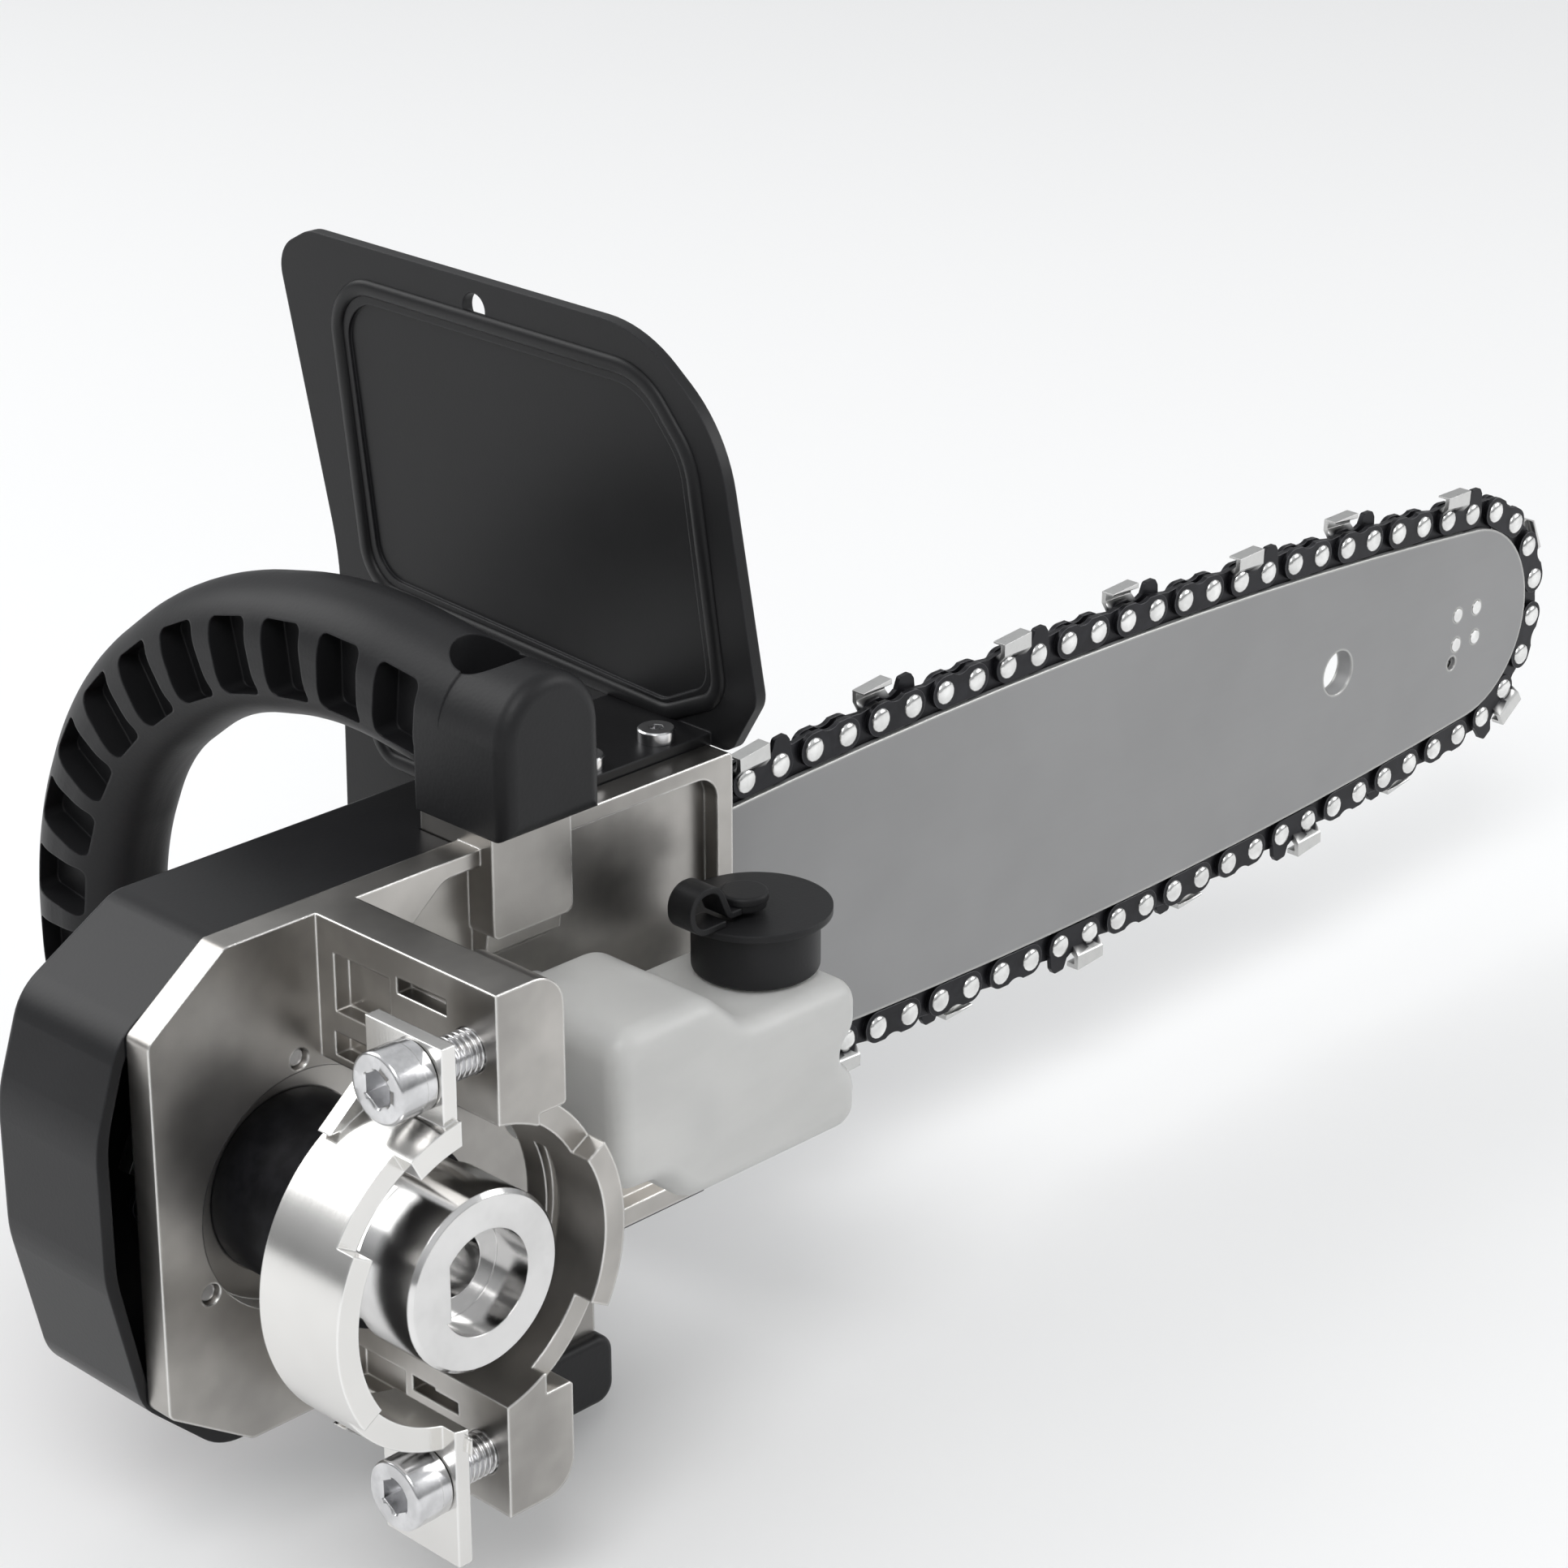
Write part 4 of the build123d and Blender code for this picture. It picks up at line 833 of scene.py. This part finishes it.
class SAW_OT_oil_tank(bpy.types.Operator):
    """Blow-mould the oil tank"""

    bl_idname = "saw.oil_tank"
    bl_label = "Oil tank"

    def execute(self, context):
        parts = [tank_shell(context.scene.saw_sizes.tank_round), tank_neck()]
        start, end = BOSS_START * MM, low_high("oil_tank")[1][1]
        heights = [0, 0, end - start - 0.5 * MM, end - start, end - start]
        radii = [0, 4.5 * MM, 4.5 * MM, 4 * MM, 0]
        for x, z in TANK_BOSSES:
            parts.append(turned((x * MM, start, z * MM), Y, heights, radii, 32))
        show("moulded_tank", mesh_of("moulded_tank", parts), "frame", "tank_plastic", 40, ["oil_tank"])
        return {"FINISHED"}


# The tank in mm: its corners in X and Z with their rounds, its depth in Y, its screw bosses in X and Z
TANK_CORNERS = (
    (42.0, 25.4, 6), (66.0, 25.4, 9), (75.5, 16.9, 9), (103.8, 16.9, 5), (103.7, 6.6, 6), (98.8, 1.8, 4.5),
    (103.8, -3.2, 6), (103.6, -13.5, 5), (60.0, -13.5, 7), (53.0, -6.5, 6), (42.0, -6.0, 6),
)
TANK_DEPTH = (2.0, 34.0)
TANK_BOSSES = ((56.0, 17.0), (96.0, -5.0))
BOSS_START = 32.0


def tank_shell(front):
    """Outline moved in along its normals by R (1 - cos a) while the depth goes R sin a: soft edges all round.

    R is the front edge's round, and 0.6 of it at the back.
    """
    outline = evenly(soft_outline(TANK_CORNERS, 0.4 * MM), 340)
    along = np.roll(outline, -1, 0) - np.roll(outline, 1, 0)
    along /= np.linalg.norm(along, axis=1)[:, None]
    inward = np.column_stack([along[:, 1], -along[:, 0]])
    a = np.linspace(0, math.pi / 2, 9)
    back = 0.6 * front
    near, far = np.array(TANK_DEPTH) * MM
    depth = np.concatenate([near + front * (1 - np.sin(a[::-1])), far - back * (1 - np.sin(a))])
    moved = np.concatenate([front * (1 - np.cos(a[::-1])), back * (1 - np.cos(a))])
    rings = outline + moved[:, None, None] * inward
    depth = np.broadcast_to(depth[:, None], rings.shape[:2])
    points = np.stack([rings[..., 0], depth, rings[..., 1]], -1)
    ring_count, count = depth.shape
    faces = grid_faces(ring_count, count, wrap_columns=True)
    faces.append(list(range(count)))
    faces.append(list(range((ring_count - 1) * count, ring_count * count)))
    return points, faces


def tank_neck():
    """Neck with an open bore, from inside the shell up to its lip."""
    x, y, _ = middle("tank_cap")
    base, lip, wall, bore, soft = 14.0 * MM, 23.5 * MM, 9.5 * MM, 7.5 * MM, 0.5 * MM
    heights = [base, base, lip - soft, lip, lip, lip - soft, base + 1.5 * MM, base + 1.5 * MM]
    radii = [0, wall, wall, wall - soft, bore + 0.4 * MM, bore, bore, 0]
    return turned((x, y, 0), Z, heights, radii)


class SAW_OT_cover_marks(bpy.types.Operator):
    """Emboss the chain's direction and the tensioner's turn on the cover"""

    bl_idname = "saw.cover_marks"
    bl_label = "Cover marks"

    def execute(self, context):
        face = low_high("sprocket_cover")[1][1]
        knob_x, _, knob_z = middle("tension_knob")
        arc_radius, half = 21.5 * MM, 1.7 * MM

        def round_knob(degrees):
            angle = np.radians(degrees)
            return knob_x + arc_radius * np.cos(angle), knob_z + arc_radius * np.sin(angle)

        parts = [raised(evenly(soft_outline(ARROW, 0.3 * MM), 160), face, closed=True)]
        parts.append(raised(np.column_stack(round_knob(np.linspace(62, 118, 24))), face))
        for degrees, strokes in ((125, ((1, 0),)), (55, ((1, 0), (0, 1)))):
            sign = np.array(round_knob(degrees))
            for stroke in np.array(strokes) * half:
                parts.append(raised(np.array([sign - stroke, sign, sign + stroke]), face))
        show("cover_marks", mesh_of("cover_marks", parts), "frame", "cover_plastic", 60)
        return {"FINISHED"}


# Corners of the arrow that shows which way the chain runs: X, Z and round, in mm
ARROW = ((-19, 30, 0.8), (-7, 37.5, 0.8), (-7, 33.5, 0.8), (8, 33.5, 0.8), (8, 26.5, 0.8), (-7, 26.5, 0.8),
         (-7, 22.5, 0.8))
# Section of a raised line in mm: its foot below the face, its sloping sides and its flat top
RAISED_SECTION = ((-0.55, -0.3), (0.55, -0.3), (0.55, 0.25), (0.35, 0.45), (-0.35, 0.45), (-0.55, 0.25))


def raised(line, face, closed=False):
    """A narrow raised section carried along a line of X and Z on the plane y = face."""
    path = np.column_stack([line[:, 0], np.full(len(line), face), line[:, 1]])
    return carried(path, np.array(RAISED_SECTION) * MM, closed, up=Y)


class SAW_OT_stage(bpy.types.Operator):
    """Floor, lights, surroundings and camera"""

    bl_idname = "saw.stage"
    bl_label = "Stage"

    def execute(self, context):
        stage = context.scene.saw_stage
        make_floor(stage)
        make_lights()
        make_surroundings(stage)
        make_camera(stage)
        return {"FINISHED"}


def make_floor(stage):
    """A flat floor just under the lowest piece."""
    half, count, level = 6.0, 9, CAD_BOUNDS[0][2] - 0.5 * MM
    steps = np.linspace(-half, half, count)
    x, y = np.meshgrid(steps, steps, indexing="ij")
    points = np.stack([x, y, np.full_like(x, level)], -1)
    mesh = mesh_of("floor", [(points, grid_faces(count, count))])
    floor = bpy.data.objects.new("floor", mesh)
    bpy.context.scene.collection.objects.link(floor)
    mesh.materials.append(floor_paint(tuple(stage.floor)))


def make_lights():
    """Three large square soft boxes, each turned to the same aim: name, place, size in metres, watts."""
    aim = np.array([0.12, 0.03, 0.0])
    boxes = (
        ("key_light", (-0.9, -0.7, 1.5), 0.9, 14.0),
        ("side_light", (1.5, -1.1, 0.9), 1.0, 11.0),
        ("back_light", (-0.5, 1.5, 1.1), 1.2, 13.0),
    )
    for name, place, size, watts in boxes:
        light = bpy.data.lights.new(name, "AREA")
        light.shape = "SQUARE"
        light.size = size
        light.energy = watts
        lamp = bpy.data.objects.new(name, light)
        bpy.context.scene.collection.objects.link(lamp)
        lamp.location = place
        away = np.array(place) - aim
        tilt = math.acos(away[2] / np.linalg.norm(away))
        lamp.rotation_euler = (tilt, 0, math.atan2(away[1], away[0]) + math.pi / 2)


def make_surroundings(stage):
    """A grey surround that is darker below and lighter above, by the height of the direction looked in."""
    low, high = -0.05, 0.55
    world = bpy.data.worlds.new("surroundings")
    bpy.context.scene.world = world
    world.use_nodes = True
    nodes, links = world.node_tree.nodes, world.node_tree.links
    place = nodes.new("ShaderNodeTexCoord")
    split = nodes.new("ShaderNodeSeparateXYZ")
    height = nodes.new("ShaderNodeMapRange")
    height.interpolation_type = "SMOOTHSTEP"
    height.inputs["From Min"].default_value = low
    height.inputs["From Max"].default_value = high
    mix = nodes.new("ShaderNodeMix")
    mix.data_type = "RGBA"
    sky = tuple(stage.sky)
    mix.inputs[MIX_FIRST].default_value = (*shade(sky, 0.42), 1.0)
    mix.inputs[MIX_SECOND].default_value = (*shade(sky, 1.2), 1.0)
    links.new(place.outputs["Generated"], split.inputs[0])
    links.new(split.outputs["Z"], height.inputs["Value"])
    links.new(height.outputs[0], mix.inputs["Factor"])
    links.new(mix.outputs[MIX_RESULT], nodes["Background"].inputs["Color"])
    nodes["Background"].inputs["Strength"].default_value = 0.7
    bpy.context.scene.view_settings.view_transform = "Standard"


def make_camera(stage):
    """Looks along the given azimuth and elevation, level, with no shift."""
    data = bpy.data.cameras.new("camera")
    data.lens = stage.lens
    data.sensor_width = 36.0
    data.clip_end = 50.0
    camera = bpy.data.objects.new("camera", data)
    bpy.context.scene.collection.objects.link(camera)
    camera.location = stage.camera
    camera.rotation_euler = (math.pi / 2 - stage.elevation, 0.0, stage.azimuth)
    bpy.context.scene.camera = camera


PIECES = (
    SAW_OT_finish_frame,
    SAW_OT_clamp_screws,
    SAW_OT_chain_rivets,
    SAW_OT_cutters,
    SAW_OT_guard_beads,
    SAW_OT_oil_tank,
    SAW_OT_cover_marks,
    SAW_OT_stage,
)


class SAW_PT_panel(bpy.types.Panel):
    """Lists the saw's pieces, colours and sizes"""

    bl_idname = "SAW_PT_panel"
    bl_label = "Chainsaw attachment"
    bl_space_type = "VIEW_3D"
    bl_region_type = "UI"
    bl_category = "Saw"

    def draw(self, context):
        for group in (context.scene.saw_colours, context.scene.saw_sizes, context.scene.saw_stage):
            box = self.layout.box()
            for name in group.__annotations__:
                box.prop(group, name)
        for piece in PIECES:
            self.layout.operator(piece.bl_idname)


CLASSES = (SawColours, SawSizes, SawStage, *PIECES, SAW_PT_panel)


def register():
    """Register every class and hang the settings on the scene."""
    for cls in CLASSES:
        bpy.utils.register_class(cls)
    scene = bpy.types.Scene
    scene.saw_colours = bpy.props.PointerProperty(type=SawColours)
    scene.saw_sizes = bpy.props.PointerProperty(type=SawSizes)
    scene.saw_stage = bpy.props.PointerProperty(type=SawStage)


def unregister():
    """Take the settings and the classes away again."""
    for name in ("saw_colours", "saw_sizes", "saw_stage"):
        delattr(bpy.types.Scene, name)
    for cls in reversed(CLASSES):
        bpy.utils.unregister_class(cls)


def main():
    """Register the classes, then build every piece in order."""
    register()
    for piece in PIECES:
        group, name = piece.bl_idname.split(".")
        getattr(getattr(bpy.ops, group), name)()


if __name__ == "__main__":
    main()
